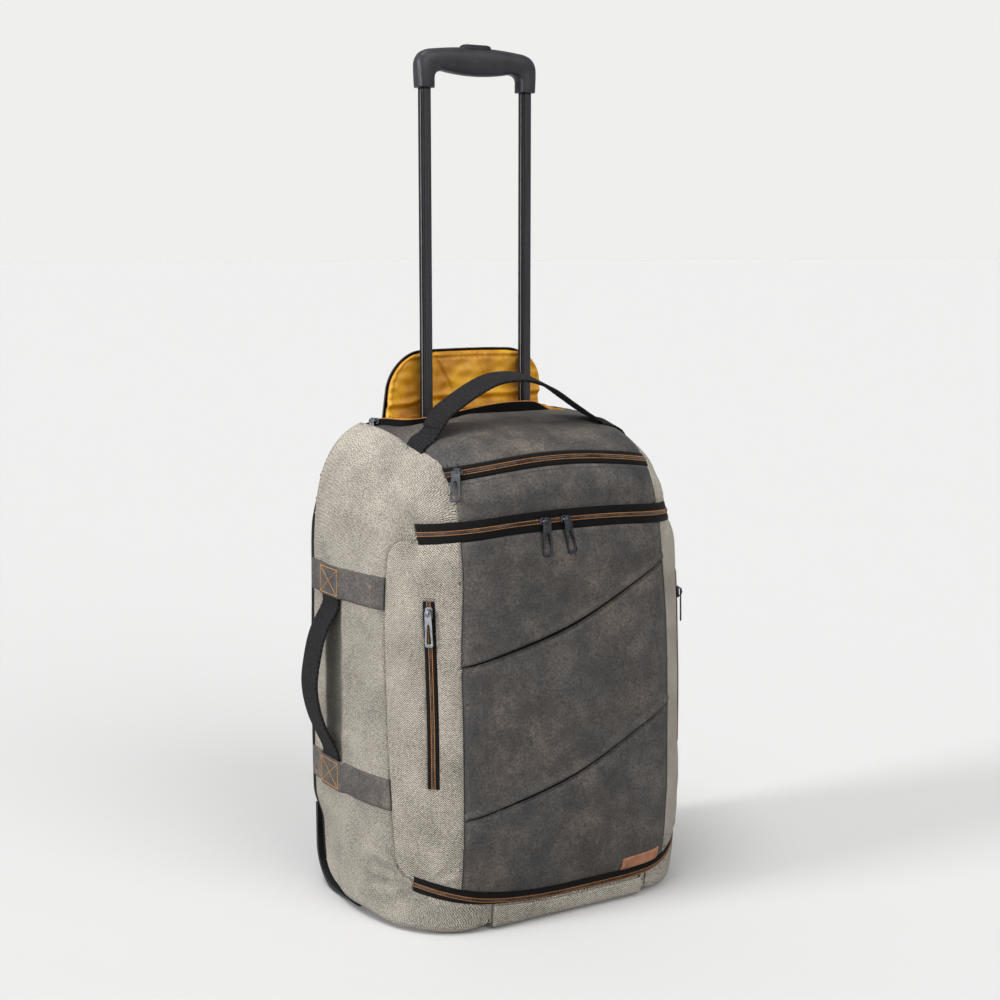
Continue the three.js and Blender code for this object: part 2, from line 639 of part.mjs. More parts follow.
function gripShape() {
  const shape = new THREE.Shape();
  const socketOut = POLE.x + 10;
  const socketIn = POLE.x - 10;
  shape.moveTo(-socketOut, GRIP.socket);
  shape.lineTo(-socketIn, GRIP.socket);
  shape.lineTo(-socketIn, GRIP.under - 9);
  shape.quadraticCurveTo(-socketIn, GRIP.under, 12 - socketIn, GRIP.under);
  shape.quadraticCurveTo(0, GRIP.under - 2 * GRIP.swell, socketIn - 12, GRIP.under);
  shape.quadraticCurveTo(socketIn, GRIP.under, socketIn, GRIP.under - 9);
  shape.lineTo(socketIn, GRIP.socket);
  shape.lineTo(socketOut, GRIP.socket);
  shape.lineTo(GRIP.half, GRIP.under + 3);
  shape.quadraticCurveTo(GRIP.half + 1, GRIP.top - 5, socketIn, GRIP.top - 3.5);
  shape.quadraticCurveTo(0, GRIP.top + 3.5, -socketIn, GRIP.top - 3.5);
  shape.quadraticCurveTo(-GRIP.half - 1, GRIP.top - 5, -GRIP.half, GRIP.under + 3);
  shape.closePath();
  return shape;
}

function addTelescopicHandle() {
  const grip = new THREE.ExtrudeGeometry(gripShape(), {
    depth: GRIP.deep - 2 * GRIP.rim,
    bevelThickness: GRIP.rim,
    bevelSize: GRIP.rim,
    bevelOffset: -GRIP.rim,
    bevelSegments: 2,
    curveSegments: 4,
  });
  grip.rotateX(Math.PI / 2);
  grip.translate(0, POLE.y + GRIP.deep / 2 - GRIP.rim, 0);
  let handle = solidFrom(grip);
  for (const { word, sign } of SIDES) {
    const bar = (grow, z0, z1) => topPrism(poleOutline(sign, grow), z0, z1, 1);
    const pole = bar(0, POLE.foot, POLE.head).subtract(bar(-POLE.wall, 0, FAR * 3));
    addPiece(`pole_${word}`, pole, 'black_metal');
    handle = handle.subtract(bar(GAP, GRIP.socket - FAR, POLE.head + GAP));
    const tube = bar(TUBE.clear + TUBE.wall, TUBE.foot, TUBE.head).subtract(bar(TUBE.clear, 0, FAR * 3));
    addPiece(`guide_tube_${word}`, tube, 'black_metal');
  }
  const buttonOutline = (grow) =>
    roundedBox2D(
      -BUTTON.half - grow,
      BUTTON.half + grow,
      POLE.y - BUTTON.deep / 2 - grow,
      POLE.y + BUTTON.deep / 2 + grow,
      4 + grow,
    );
  addPiece('grip', handle.subtract(topPrism(buttonOutline(0.4), BUTTON.pocket, 1000)), 'plastic');
  addPiece('grip_button', topPrism(buttonOutline(0), BUTTON.foot, BUTTON.top), 'plastic');
}

// Two cross pieces that hold the tubes, shaped to the inside of the back and the heel
function addTubeBrackets() {
  const { half, front, high, upper } = BRACKET;
  const inside = grown(-WALL - GAP);
  let top = block(-half, half, front, FAR, upper, POCKET.floor - GAP).intersect(inside);
  let bottom = block(-half, half, front, FAR, 0, high).intersect(inside);
  for (const { sign } of SIDES) {
    const outline = poleOutline(sign, TUBE.clear + TUBE.wall + GAP);
    top = top.subtract(topPrism(outline, 0, FAR * 2));
    bottom = bottom.subtract(topPrism(outline, TUBE.foot - GAP, FAR));
  }
  addPiece('tube_bracket_upper', top, 'plastic');
  addPiece('tube_bracket_lower', bottom, 'plastic');
}

// Wheels in the lower rear corners, each in a guard with a closed well

function guardOutline() {
  const { rear, high, toe, under, bend, thick } = GUARD;
  const shape = new THREE.Shape();
  shape.moveTo(toe, under);
  shape.absarc(rear - bend, under + bend, bend, -Math.PI / 2, 0);
  shape.lineTo(rear, high);
  shape.lineTo(rear - thick, high);
  shape.absarc(rear - bend, under + bend, bend - thick, 0, -Math.PI / 2, true);
  shape.lineTo(toe, under + thick);
  shape.closePath();
  return shape;
}

function guardFilled() {
  const { rear, high, toe, under, bend } = GUARD;
  const shape = new THREE.Shape();
  shape.moveTo(toe, under);
  shape.absarc(rear - bend, under + bend, bend, -Math.PI / 2, 0);
  shape.lineTo(rear, high);
  shape.lineTo(toe, high);
  shape.closePath();
  return shape;
}

function wellOutline(radius) {
  const shape = new THREE.Shape();
  shape.moveTo(FAR, -10);
  shape.lineTo(FAR, WHEEL.z + radius);
  shape.absarc(WHEEL.y, WHEEL.z, radius, Math.PI / 2, Math.PI);
  shape.lineTo(WHEEL.y - radius, -10);
  shape.closePath();
  return shape;
}

function turned(profile, segments) {
  const geometry = new THREE.LatheGeometry(profile.map(([r, x]) => new THREE.Vector2(r, x)), segments);
  geometry.rotateZ(-Math.PI / 2);
  return solidFrom(geometry);
}

function ringProfile(inner, outer, half, chamfer) {
  return [
    [inner, -half],
    ...(chamfer > 0 ? [[outer - chamfer, -half]] : []),
    [outer, chamfer - half],
    [outer, half - chamfer],
    ...(chamfer > 0 ? [[outer - chamfer, half]] : []),
    [inner, half],
    [inner, -half],
  ];
}

function addWheels() {
  for (const { word, sign } of SIDES) {
    const middle = sign * WHEEL.x;
    const [near, far] = [sign * GUARD.inner, sign * GUARD.outer].sort((a, b) => a - b);
    const cheek = WELL.half + WELL.wall;
    const well = sidePrism(wellOutline(WELL.radius + WELL.wall), middle - cheek, middle + cheek);
    const slot = sidePrism(wellOutline(WELL.radius), middle - WELL.half, middle + WELL.half);
    const inside = sidePrism(guardFilled(), near, far);
    const guard = sidePrism(guardOutline(), near, far).add(well.intersect(inside)).subtract(slot);
    addPiece(`wheel_guard_${word}`, guard, 'plastic');

    const half = WHEEL.wide / 2;
    const tyre = turned(ringProfile(WHEEL.hub + GAP, WHEEL.radius, half, 3), 20);
    const hub = turned(ringProfile(WHEEL.bore, WHEEL.hub, half, 0), 20);
    addPiece(`tyre_${word}`, tyre.translate([middle, WHEEL.y, WHEEL.z]), 'rubber');
    addPiece(`hub_${word}`, hub.translate([middle, WHEEL.y, WHEEL.z]), 'plastic');
    const pin = new THREE.CylinderGeometry(WHEEL.axle, WHEEL.axle, 2 * (WELL.half - GAP), 16);
    pin.rotateZ(Math.PI / 2);
    pin.translate(middle, WHEEL.y, WHEEL.z);
    addPiece(`axle_${word}`, solidFrom(pin), 'steel');
  }
}

// Carry handles, leather bands, foot, patch and piping

function addTopHandle() {
  const { y, width, thick, reach, rise } = TOP_HANDLE;
  const rear = y + width / 2;
  const tilt = (topAt(reach - 15, rear).point.z - topAt(reach - 15, y - width / 2).point.z) / width;
  const onTop = (x) => topAt(x, y).point.z + thick / 2 + 1.3;
  const half = [
    [reach, onTop(reach)],
    [reach - 8, onTop(reach - 8) + 0.4],
    [reach - 17, onTop(reach - 17) + 0.8],
    [reach - 28, onTop(reach - 28) + 2],
    [85, rise - 31],
    [49, rise - 10],
  ];
  const path = [...half.map(([x, z]) => [-x, z]), [0, rise - thick / 2], ...half.reverse()];
  addPiece('top_handle', webbing(path, thick, y - width / 2, rear, tilt), 'webbing');
}

function addSideHandle() {
  const { y, width, thick, high, low, reach } = SIDE_HANDLE;
  const rear = y + width / 2;
  const onSide = (z) => sideAt(-1, rear, z).point.x - thick / 2 - 0.6;
  const out = thick / 2 - reach;
  const path = [
    [onSide(high), high],
    [onSide(high - 8) - 1, high - 8],
    [onSide(318) - 16, 318],
    [out + 4, 290],
    [out, 256],
    [out + 7, 220],
    [onSide(low + 8) - 3, low + 8],
    [onSide(low), low],
  ];
  addPiece('side_handle', webbing(path, thick, y - width / 2, rear), 'webbing');
}

function addBands() {
  const skin = layer(GAP, GAP + BANDS.thick);
  for (const [word, [low, high]] of [['upper', BANDS.upper], ['lower', BANDS.lower]]) {
    const room = block(-FAR, 0, RIDGE_Y - 4, BANDS.rear, low, high);
    addPiece(`side_band_${word}`, skin.intersect(room), 'leather');
  }
}

function addFoot() {
  const room = block(-FOOT.half, FOOT.half, -FAR, FOOT.rear, 0, FOOT.high);
  const clear = frontBand(FAR, shifted(baseZipLine, -BASE_ZIP.tape / 2 - 1), () => FAR, 0);
  addPiece('front_foot', layer(GAP, FOOT.thick).intersect(room).subtract(clear), 'weave');
}

function addPatch() {
  const low = shifted(baseZipLine, BASE_ZIP.tape / 2 + 1.2);
  const high = shifted(low, PATCH.high);
  const room = frontPrism(ribbon2D(PATCH.left, PATCH.right, low, high), -FAR, 0);
  addPiece('patch', layer(GAP, GAP + PATCH.thick).intersect(room), 'tan_leather');
}

function addPiping() {
  const cord = ring(0, REAR_Y + PIPING.radius + GAP, PIPING.inset);
  const run = cord.filter((p) => p.x > PIPING.end && p.z > PIPING.foot);
  for (const { word, sign } of SIDES) {
    const path = new THREE.CatmullRomCurve3(run.map((p) => new THREE.Vector3(sign * p.x, p.y, p.z)));
    const circle = new THREE.Shape().absarc(0, 0, PIPING.radius, 0, Math.PI * 2);
    const cordGeometry = new THREE.ExtrudeGeometry(circle, {
      extrudePath: path,
      steps: 16,
      curveSegments: 3,
      bevelEnabled: false,
    });
    addPiece(`back_piping_${word}`, solidFrom(cordGeometry), 'black_cloth');
  }
}

addPanels();
addFrontZip('main_zip', MAIN_ZIP.half, mainZipLine, MAIN_ZIP.tape, RIDGE_Y);
addFrontZip('top_zip', TOP_ZIP.half, topZipLine, TOP_ZIP.tape, 0);
addFrontZip('base_zip', BASE_ZIP.half, baseZipLine, BASE_ZIP.tape, RIDGE_Y);
addSideZips();
addPulls();
addHandlePocket();
addFlap();
addTelescopicHandle();
addTubeBrackets();
addWheels();
addTopHandle();
addSideHandle();
addBands();
addFoot();
addPatch();
addPiping();

// The origin goes to the middle of the base of the bounding box
const box = new THREE.Box3().setFromObject(bag);
bag.position.set(-(box.min.x + box.max.x) / 2, -(box.min.y + box.max.y) / 2, -box.min.z);
const trolleyBackpack = new THREE.Group();
trolleyBackpack.name = 'trolley_backpack';
trolleyBackpack.add(bag);

export default trolleyBackpack;
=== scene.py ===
import math

import bpy
import numpy as np
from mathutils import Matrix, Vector
from mathutils.bvhtree import BVHTree
from mathutils.kdtree import KDTree


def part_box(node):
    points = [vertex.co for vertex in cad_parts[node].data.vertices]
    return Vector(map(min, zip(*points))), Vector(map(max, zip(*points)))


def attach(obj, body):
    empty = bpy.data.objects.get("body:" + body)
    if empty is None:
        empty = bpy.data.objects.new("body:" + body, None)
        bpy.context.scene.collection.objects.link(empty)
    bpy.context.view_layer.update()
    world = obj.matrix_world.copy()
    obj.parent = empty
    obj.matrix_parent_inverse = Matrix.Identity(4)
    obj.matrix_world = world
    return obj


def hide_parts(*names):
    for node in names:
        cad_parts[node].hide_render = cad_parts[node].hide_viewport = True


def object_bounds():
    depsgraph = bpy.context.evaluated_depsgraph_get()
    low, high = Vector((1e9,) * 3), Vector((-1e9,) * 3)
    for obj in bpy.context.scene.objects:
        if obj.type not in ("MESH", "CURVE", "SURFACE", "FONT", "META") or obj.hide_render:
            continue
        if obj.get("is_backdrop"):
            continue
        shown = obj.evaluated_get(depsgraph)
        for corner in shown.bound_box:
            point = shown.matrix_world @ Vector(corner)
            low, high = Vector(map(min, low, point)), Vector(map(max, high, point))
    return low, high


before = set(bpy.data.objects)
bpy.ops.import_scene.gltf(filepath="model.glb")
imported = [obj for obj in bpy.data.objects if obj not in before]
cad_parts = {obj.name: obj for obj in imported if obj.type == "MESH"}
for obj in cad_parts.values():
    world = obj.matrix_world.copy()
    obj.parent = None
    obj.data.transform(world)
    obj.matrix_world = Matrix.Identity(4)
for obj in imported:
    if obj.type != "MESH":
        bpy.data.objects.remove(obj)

CAD_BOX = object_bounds()
MM = 0.001
SIDES = (("left", -1), ("right", 1))

# Driving sizes of the soft body, in millimetres, front towards -Y
REAR_Y = 110.0
FRONT_Y = -112.0
DEPTH = REAR_Y - FRONT_Y
REAR_HALF = 205.0
FACE_HALF = 106.0
REAR_TOP = 549.0
FACE_TOP = 474.0
BASE_REAR = 8.0
BASE_FRONT = 2.5
FACE_BOTTOM = 8.0
HEEL = 40.0
SHOULDER_REAR = 404.0
SHOULDER_FRONT = 330.0
BOTTOM_CORNER = 9.0
WIDTH_POWER = 3.9
TOP_POWER = 3.8
SHOULDER_POWER = {"rear": 6.0, "front": 4.6}
BOTTOM_POWER = 26.0
FACE_BULGE = 6.0
RIGHT_SLACK = 0.02
SPINE_LOW = 150.0
SPINE_HIGH = 400.0
REAR_EDGE = 8.0

# Where along the depth each change of the section starts, and its run, as shares of the depth
SETTLE = (0.45, 0.35)
SHOULDER_FALL = (0.1, 0.75)
POWER_FALL = (0.0, 0.6)
SLACK_RISE = (0.15, 0.5)
BELLY_POWER = 4

# How far the stuffed bag spreads sideways and bellies forward at each height
BULGE_Z = [0, 30, 62, 130, 240, 350, 450, 560]
BULGE = {
    "spread": [0.985, 0.997, 1.006, 1.016, 1.018, 1.006, 1.0, 1.0],
    "belly": [0, 3, 11, 15, 13, 7, 2, 0],
}
BULGE_SOFTNESS = 16.0
BULGE_STEP = 2.0

# Points on the body grid: round half a section, and from the back to the front
BASE_N, CORNER_N, SIDE_N, CROWN_N = 14, 7, 84, 62
REAR_N, EDGE_N, DEPTH_N, FACE_N = 22, 6, 72, 30

# Seams and zips on the body; a pair is the start of a smooth change and its run
LEATHER = {"low": 134.0, "high": 129.0, "crown": 140.0, "taper": (300.0, 110.0), "widen": (-80.0, 80.0)}
RIDGE = {"y": -57.0, "lean": 0.048, "at": 215.0}
BACK_SEAM = {"low": 101.0, "high": 107.5, "from": 425.0, "run": 60.0}
DOOR_CORNER = 18.0
BASE_SEAM_X = 110.0
BASE_SEAM_Z = 75.0
MAIN_ZIP = {"middle": 448.0, "end": 439.0, "half": 165.0, "tape": 20.0}
TOP_ZIP = {"middle": 513.0, "end": 500.0, "half": 131.0, "tape": 13.0}
BASE_ZIP = {"middle": 29.0, "end": 58.0, "half": 176.0, "tape": 14.0, "left": 2, "right": 5, "reach": 1.2,
            "narrow": 0.85, "wider": 0.35, "widen": (60.0, 110.0), "teeth_drop": 2.6, "drop_run": 90.0}
SIDE_ZIP = {"left": 162.0, "right": 169.0, "low": 168.0, "high": 370.0, "tape": 9.0}
SLITS = {"left": -134.0, "lean": 0.157, "curve": 0.00073, "upper": 301.0, "lower": 134.0}
TAPE_SINK = 1.1
STRIPE = {"front": 1.9, "side": 1.3}
TAPE_EDGE = {"past": 1.1, "from": 0.85, "dip": 4.0, "wall": 0.6}
TOOTH = {"pitch": 1.7, "length": 1.3, "width": 0.72, "height": 1.3, "lift": 0.5}

# Bounds of the places where each seam is cut, and the distances of the lines cut beside it
CUT = {"back": 90.0, "door_top": 470.0, "door_half": 150.0, "rear_gap": 0.5, "leather_low": 12.0,
       "zip_past": 6.0, "zip_beside": 8.0, "slit_front": -60.0, "side_front": -50.0, "side_past": 9.0,
       "crown": 480.0, "wheel_front": 30.0, "wheel_top": 90.0, "strip_low": 200.0}
SEAM_LOOPS = (0.0, 1.3, 3.2)
BACK_LOOPS = (0.0, 3.0)
POCKET_LOOPS = (0.0, 2.0)
WELL_LOOPS = (0.0,)

# Rows of stitches: pitch, then length as a share of the pitch, width and height, then lift over the cloth
STITCHES = {
    "stripe": (1.9, (0.84, 1.1, 0.8), 0.4 - TAPE_SINK),
    "leather": (3.4, (0.8, 0.8, 0.6), 0.1),
    # The next row is a continuous dark thread in the leather's seam grooves: painted seam shadow.
    "seam_shadow_cord": (3.0, (1.04, 1.5, 0.9), 0.1),
    "pocket_coil": (1.8, (1.05, 1.6, 1.4), 0.2),
    "flap_coil": (1.9, (1.05, 1.4, 1.6), 0.2),
    "box": (3.4, (0.84, 0.85, 0.8), 0.15),
}
# Place along a stitch and its size there
STITCH_SHAPE = ((-0.5, 0.25), (-0.38, 0.8), (0.0, 1.0), (0.38, 0.8), (0.5, 0.25))
STITCH_SIDES = 6
STITCH_STEPS = 12
LEATHER_ROWS = {"insets": (3.6, 2.6, 1.6, 0.4), "foot": 9.0, "head": 11.0, "end": 6.0, "below_zip": 5.0}

# Zip pulls: the slotted plate, its eye and the slider that carries it
PULL = {"thick": 1.8, "border": 2.2, "foot": 3.4, "head": 2.4, "slot_top": 0.32, "rise": 4.3, "hang": 0.03,
        "corner": 0.3, "slot_gap": 0.2, "waist": (0.8, 0.2), "slot_waist": (0.55, 0.45), "run": 0.5}
EYE = {"outer": 3.7, "hole": 1.9, "thick": 2.4, "edge": 0.5, "up": 0.4, "out": 4.6}
SLIDER = {"half": 4.2, "reach": 6.6, "corner": 2.6, "bridge": 4.8, "foot": 2.0, "rise": 3.6, "sunk": 0.6,
          "wide": 1.5, "thick": 0.8}
SLIDER_LEVELS = ((-0.8, 0.8), (0.0, 0.0), (1.8, 0.0), (2.5, 0.9))
METAL_EDGE = 0.3

# Handle pocket, flap and telescopic handle
POCKET = {"half": 113.0, "front": 58.0, "rear": 100.5, "corner": 17.0, "floor": 486.0, "lip": 545.0}
POCKET_CLOTH = {"gap": 0.4, "over": 1.0, "floor": (0.9, 0.6, 0.3), "slack": 0.8, "fold": 0.7, "wave": 16.0,
                "tall": 0.4, "front": (9.0, 6.0), "rear": (8.0, 6.0), "lap": (0.0, 2.3, 1.8), "wall": 0.6}
POCKET_LIP = {"z": 552.0, "wave": 7.0, "crest": 38.0, "turn": 2.4}
# Size, place and width of the puffs in the pocket's front wall
POCKET_PUFFS = ((9.0, -50.0, 20.0), (4.0, 40.0, 30.0))
POCKET_TAPE = {"grow": 1.4, "foot": 533.0, "rise": 3.0, "end": 543.5, "left": 20.0, "right": 40.0,
               "wall": 1.2, "tail": 17.0, "tail_front": 3.0, "corner_in": 8.0}
POCKET_SLIDER = {"down": (0, 0, -3), "tip": (-7, -4, -9), "out": (-0.8, -0.5, 0.3), "length": 11,
                 "width": 6.5}
FLAP = {"middle": -6.0, "half": 98.0, "top": 614.0, "corner": 40.0, "y": 105.8, "curl": 7.0, "most_curl": 1.1,
        "flare": 6.0, "flare_run": (20.0, 70.0), "crown": 3.0, "drop": 10.0, "drop_run": (0.3, 0.6),
        "stretch": 1.06, "behind": 1.2, "ahead": 3.0, "over": 0.5, "foot": 6.0, "wall": 1.0}
FLAP_TAPE = {"in": -1.0, "out": 3.2, "behind": 0.4, "wall": 1.0}
LINING = {"border": 0.5, "wider": 4.0, "widen": (60.0, 14.0), "gap": 1.4, "pad": 4.0, "pad_run": 6.0,
          "soft_run": 9.0, "gather": 0.6, "pitch": 8.5, "uneven": 17.0, "gather_at": 5.0, "gather_width": 4.0,
          "foot": 0.4, "wall": 0.5}
# The lining's rumples as size, stretch, wavelength and seed; its hem and folds as size, place and width
LINING_RUMPLES = ((0.9, (1, 1, 0.6), 40.0, 21), (0.4, (0.6, 1, 1.4), 17.0, 22))
LINING_HEM = ((1.8, 2.5, 2.2), (-1.4, 6.5, 1.8))
LINING_FOLDS = ((2.2, 0.26, 0.05), (-2.0, 0.17, 0.05))
LINING_CREASE = {"depth": 2.8, "x": -40.0, "z": 600.0, "lean": 0.55, "width": 1.6}
# The pole's side width sets the side faces painted black, partly as finish and partly as painted shade; the
# last width is half of the thin painted highlight line in each.
POLE = {"x": 66.0, "y": 86.0, "wide": 12.0, "deep": 14.0, "corner": 3.8, "channel": 2.6, "groove": 0.8,
        "soft": 0.5, "foot": 444.0, "head": 925.0, "side": 2.0, "highlight_half": 0.7}
GRIP = {"half": 78.0, "deep": 22.0, "socket": 914.0, "under": 933.0, "swell": 4.0, "top": 961.0, "leg": 11.0,
        "arch": 3.5, "flank": 3.0, "bend": 5.0, "fillet": 12.0, "drop": 9.0, "power": 2.7}
BUTTON = {"half": 19.0, "deep": 16.0, "foot": 956.5, "sunk": 3.0, "top": 964.0, "corner": 7.0}
BUTTON_CROWN = ((-2.6, 0.0), (-1.0, 1.4), (0.0, 4.0))

# Wheels
WHEEL = {"x": 169.0, "y": 86.0, "z": 30.0, "radius": 30.0, "wide": 24.0, "hub": 20.0, "bore": 4.4,
         "edge": 0.4, "gap": 0.2}
# Rises of the tread from the radius, and how far in from the side; for the groove, how far from the middle
TREAD = ((-3.5, 0.0), (-1.0, 1.2), (0.0, 4.0))
GROOVE = ((0.0, -2.2), (-0.9, -1.6))
# Radii of the hub's dished face, and how far in from the side
DISH = ((8.0, 0.0), (9.0, 3.0), (15.5, 3.0), (16.8, 0.0))
WELL = {"radius": 34.5, "wall": 2.4, "half": 15.0}
TUCK = {"depth": 8.0, "top": 118.0, "fade": 40.0, "front": 30.0, "run": 60.0, "side": (130.0, 50.0)}

# Webbing and trim
TOP_HANDLE = {"y": -20.0, "width": 38.0, "base": 33.0, "thick": 3.2, "thin": 0.7, "tilt": 0.2,
              "left": 132.0, "right": 124.0, "rise": (14.0, 40.0), "probe": 12.0, "doubling": 1.0}
# The top handle's sewn ends as steps past its feet and gaps over the crown; its arch as x and z
TOP_HANDLE_TUCK = [(14, -6.0), (6, -3.0), (0, 0.6), (-9, 1.8)]
TOP_HANDLE_ARCH = [
    (-116, 542), (-106, 556), (-93, 566), (-65, 582), (-42, 591.5), (-18, 594.4),
    (5, 592), (32, 581.5), (58, 565), (80, 551), (97, 542),
]
SIDE_HANDLE = {"y": 46.0, "width": 40.0, "thick": 3.2, "high": 352.0, "reach": 238.0, "tail": 26.0}
# The side handle's sewn ends as heights and gaps; its bow as distances in from its reach, and heights
SIDE_HANDLE_UPPER = ((382.0, 1.2), (356.0, 1.2), (344.0, 2.2), (318.0, 16.0))
SIDE_HANDLE_LOWER = ((184.0, 3.5), (172.0, 1.2), (146.0, 1.2))
SIDE_HANDLE_BOW = ((4.0, 290.0), (0.0, 256.0), (7.0, 220.0))
BANDS = {"upper": (356.0, 391.0), "lower": (137.0, 172.0)}
BAND_REAR = 100.0
BAND = {"thick": 2.3, "thin": 0.9, "edge": 1.6, "half": 30.0, "side_run": 8.0, "end": 16.0, "end_run": 6.0,
        "over": 0.6, "wall": 1.2}
BOX_STITCH = {"half": 20.0, "margin": 3.0}
FOOT = {"left": -96.0, "right": 102.0, "rear": -70.0, "front": -104.0, "swell": 4.2, "round": 4.0, "low": 4.5,
        "flat": 0.75, "crown": 0.25, "tuck": 1.5, "floor": 0.4, "end_rise": 2.0, "wall": 2.0, "gap": 1.0}
PATCH = {"left": 71.0, "right": 123.0, "high": 15.0, "gap": 1.2, "thick": 1.5, "thin": 0.6, "edge": 0.9,
         "wall": 1.2}
PIPING = {"radius": 2.4, "sunk": 1.0, "inset": 6.0, "foot": 92.0, "end": 118.0, "hidden": 5.0}

# Relief of the sewn panels
DOOR_LAP = 3.0
SEAM_SINK = 1.5
SEAM_WIDTH = 2.4
PUFF = 1.3
PUFF_REACH = 26.0
PUFF_BASE = 0.6
# Size, wavelength and seed of the rumples in the padded cloth
RUMPLES = ((0.35, 60.0, 5), (0.12, 24.0, 9))
RUMPLE_RUN = 12.0
PANEL_WALL = 1.4
FLOOR_GAP = 0.6
BASE_RAISE = 1.6
BACK_RIM = {"sink": 1.2, "width": 5.0}
SLIT_LIP = {"gape": 0.92, "round": 0.6, "lift": 1.0, "tuck": 2.0, "drop": 1.4, "gaping": 3.4, "width": 5.0}
# The sheet of painted shadow in the front slits: its rows, depth, wall and gap.
SLIT_SHADOW_SHEET = {"rows": (-9, -4, 0, 4, 9), "depth": 4.4, "wall": 0.6, "gap": 1.0}
DOOR_LIP = {"proud": 0.3, "dip": 0.7, "width": 5.0}
SLUMP = {"depth": 7.5, "rear": (12.0, 40.0), "left": (25.0, 50.0), "end": (-150.0, 22.0)}
PUCKER = {"size": 1.3, "rays": 9, "twist": 0.05, "behind": 6.0, "ring": 26.0, "width": 18.0, "rear": -20.0,
          "rim": (1.5, 8.0)}

# Rounding of hard edges
BEVEL_ANGLE = 35.0
CAD_EDGE = 0.8

# Rays that lay trim on the bag: where they start, and how far a panel may stand off the body under it
RAY_START = 2000.0
SEWN_DEPTH = 8.0

# The studio: the sky and the lit floor have the same brightness, so no horizon shows
CAMERA = {"azimuth": -30.7, "down": 8.73, "lens": 59.05, "sensor": 36.0, "far": 200.0,
          "place": (-955.75, -1578.53, 736.29)}
BACKGROUND = (239, 239, 237)
SKY_LIGHT = {"below": 0.26, "above": 0.48, "horizon": 0.3, "on_floor": 0.98}
FLOOR_ALBEDO = 0.64
FLOOR_REACH = 80.0
# Each lamp's name, the way to it, its share of the light on the floor and its angle in degrees
SUNS = (
    ("overhead", (-0.24, -0.08, 0.95), 0.47, 26.0),
    ("side", (-0.88, 0.10, 0.28), 0.24, 16.0),
    ("front", (0.15, -0.85, 0.50), 0.25, 45.0),
)
STRIP = {"place": (-1600.0, -700.0, 900.0), "width": 90.0, "height": 1500.0, "power": 30.0}


# Small helpers on arrays of points

def smoothstep(t):
    t = np.clip(t, 0, 1)
    return t * t * (3 - 2 * t)


def fade(value, start, run):
    """A smooth rise from 0 to 1 over a run that begins at a start."""
    return smoothstep((value - start) / run)


def between(a, b, share):
    return a + (b - a) * share


def hump(distance, width):
    return np.exp(-((distance / width) ** 2))


def unit(v):
    return v / np.maximum(np.linalg.norm(v, axis=-1, keepdims=True), 1e-9)


def lengths_along(points):
    return np.concatenate([[0], np.cumsum(np.linalg.norm(np.diff(points, axis=0), axis=1))])


def resample(points, count):
    """Points at even steps of length along a polyline."""
    points = np.asarray(points, float)
    along = lengths_along(points)
    at = np.linspace(0, along[-1], count)
    return np.stack([np.interp(at, along, column) for column in points.T], 1)


def spline(points, count):
    """A Catmull-Rom curve through a few points, at even steps of length."""
    p = np.asarray(points, float)
    p = np.concatenate([2 * p[:1] - p[1:2], p, 2 * p[-1:] - p[-2:-1]])
    t = np.linspace(0, 1, 24, endpoint=False)[:, None]
    runs = []
    for a, b, c, d in zip(p[:-3], p[1:-2], p[2:-1], p[3:]):
        bend = (2 * a - 5 * b + 4 * c - d) * t**2 + (3 * b - a - 3 * c + d) * t**3
        runs.append(0.5 * (2 * b + (c - a) * t + bend))
    return resample(np.concatenate(runs + [p[-2:-1]]), count)


def bezier(a, b, c, count=14):
    t = np.linspace(0, 1, count, endpoint=False)[:, None]
    return np.array(a) * (1 - t) ** 2 + 2 * np.array(b) * t * (1 - t) + np.array(c) * t**2


def full_turn(count):
    """Even angles round a circle."""
    return np.arange(count) * 2 * np.pi / count


def at_depth(run, y):
    """A curve in x and z as points at one depth."""
    return np.stack([run[:, 0], np.full(len(run), y), run[:, 1]], 1)


def ripple(points, wavelength, seed, count=16):
    """Smooth noise of about unit size: a sum of waves in seeded directions."""
    rng = np.random.default_rng(seed)
    total = np.zeros(points.shape[:-1])
    for _ in range(count):
        way = unit(rng.normal(size=3)) * 2 * np.pi / (wavelength * rng.uniform(0.7, 1.6))
        total += np.sin(points @ way + rng.uniform(0, 2 * np.pi))
    return total / math.sqrt(count / 2)


def rounded_loop(half, low, high, radius, per_corner=8):
    """A closed rounded rectangle, anticlockwise from its lower right corner."""
    corners = ((half, low, -0.5), (half, high, 0.0), (-half, high, 0.5), (-half, low, 1.0))
    points = []
    for x, y, start in corners:
        middle = (x - math.copysign(radius, x), y + radius if y == low else y - radius)
        for turn in (start + np.linspace(0, 0.5, per_corner)) * math.pi:
            points.append((middle[0] + radius * math.cos(turn), middle[1] + radius * math.sin(turn)))
    return np.array(points)


def drawn_in(loop, inset):
    """A closed anticlockwise outline drawn in along its own normals."""
    along = unit(np.roll(loop, -1, 0) - np.roll(loop, 1, 0))
    return loop + np.stack([-along[:, 1], along[:, 0]], 1) * inset


def even_loop(loop, count):
    """A closed outline at even steps of length."""
    return resample(np.concatenate([loop, loop[:1]]), count + 1)[:-1]


def rounded_corner(across, along, radius):
    """Signed distance from a rounded corner, from the distances past the two lines through its centre."""
    outside = np.hypot(np.maximum(across, 0), np.maximum(along, 0))
    return outside + np.minimum(np.maximum(across, along), 0) - radius


def raised(loop, z):
    return np.column_stack([loop, np.full(len(loop), z)])


def bag_shift():
    """Offset from the bag's own middle line to the frame, read from the poles."""
    low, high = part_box("pole_left")[0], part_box("pole_right")[1]
    return np.array([(low.x + high.x) / 2 / MM, (low.y + high.y) / 2 / MM - POLE["y"], 0.0])


SHIFT = bag_shift()


# Meshes

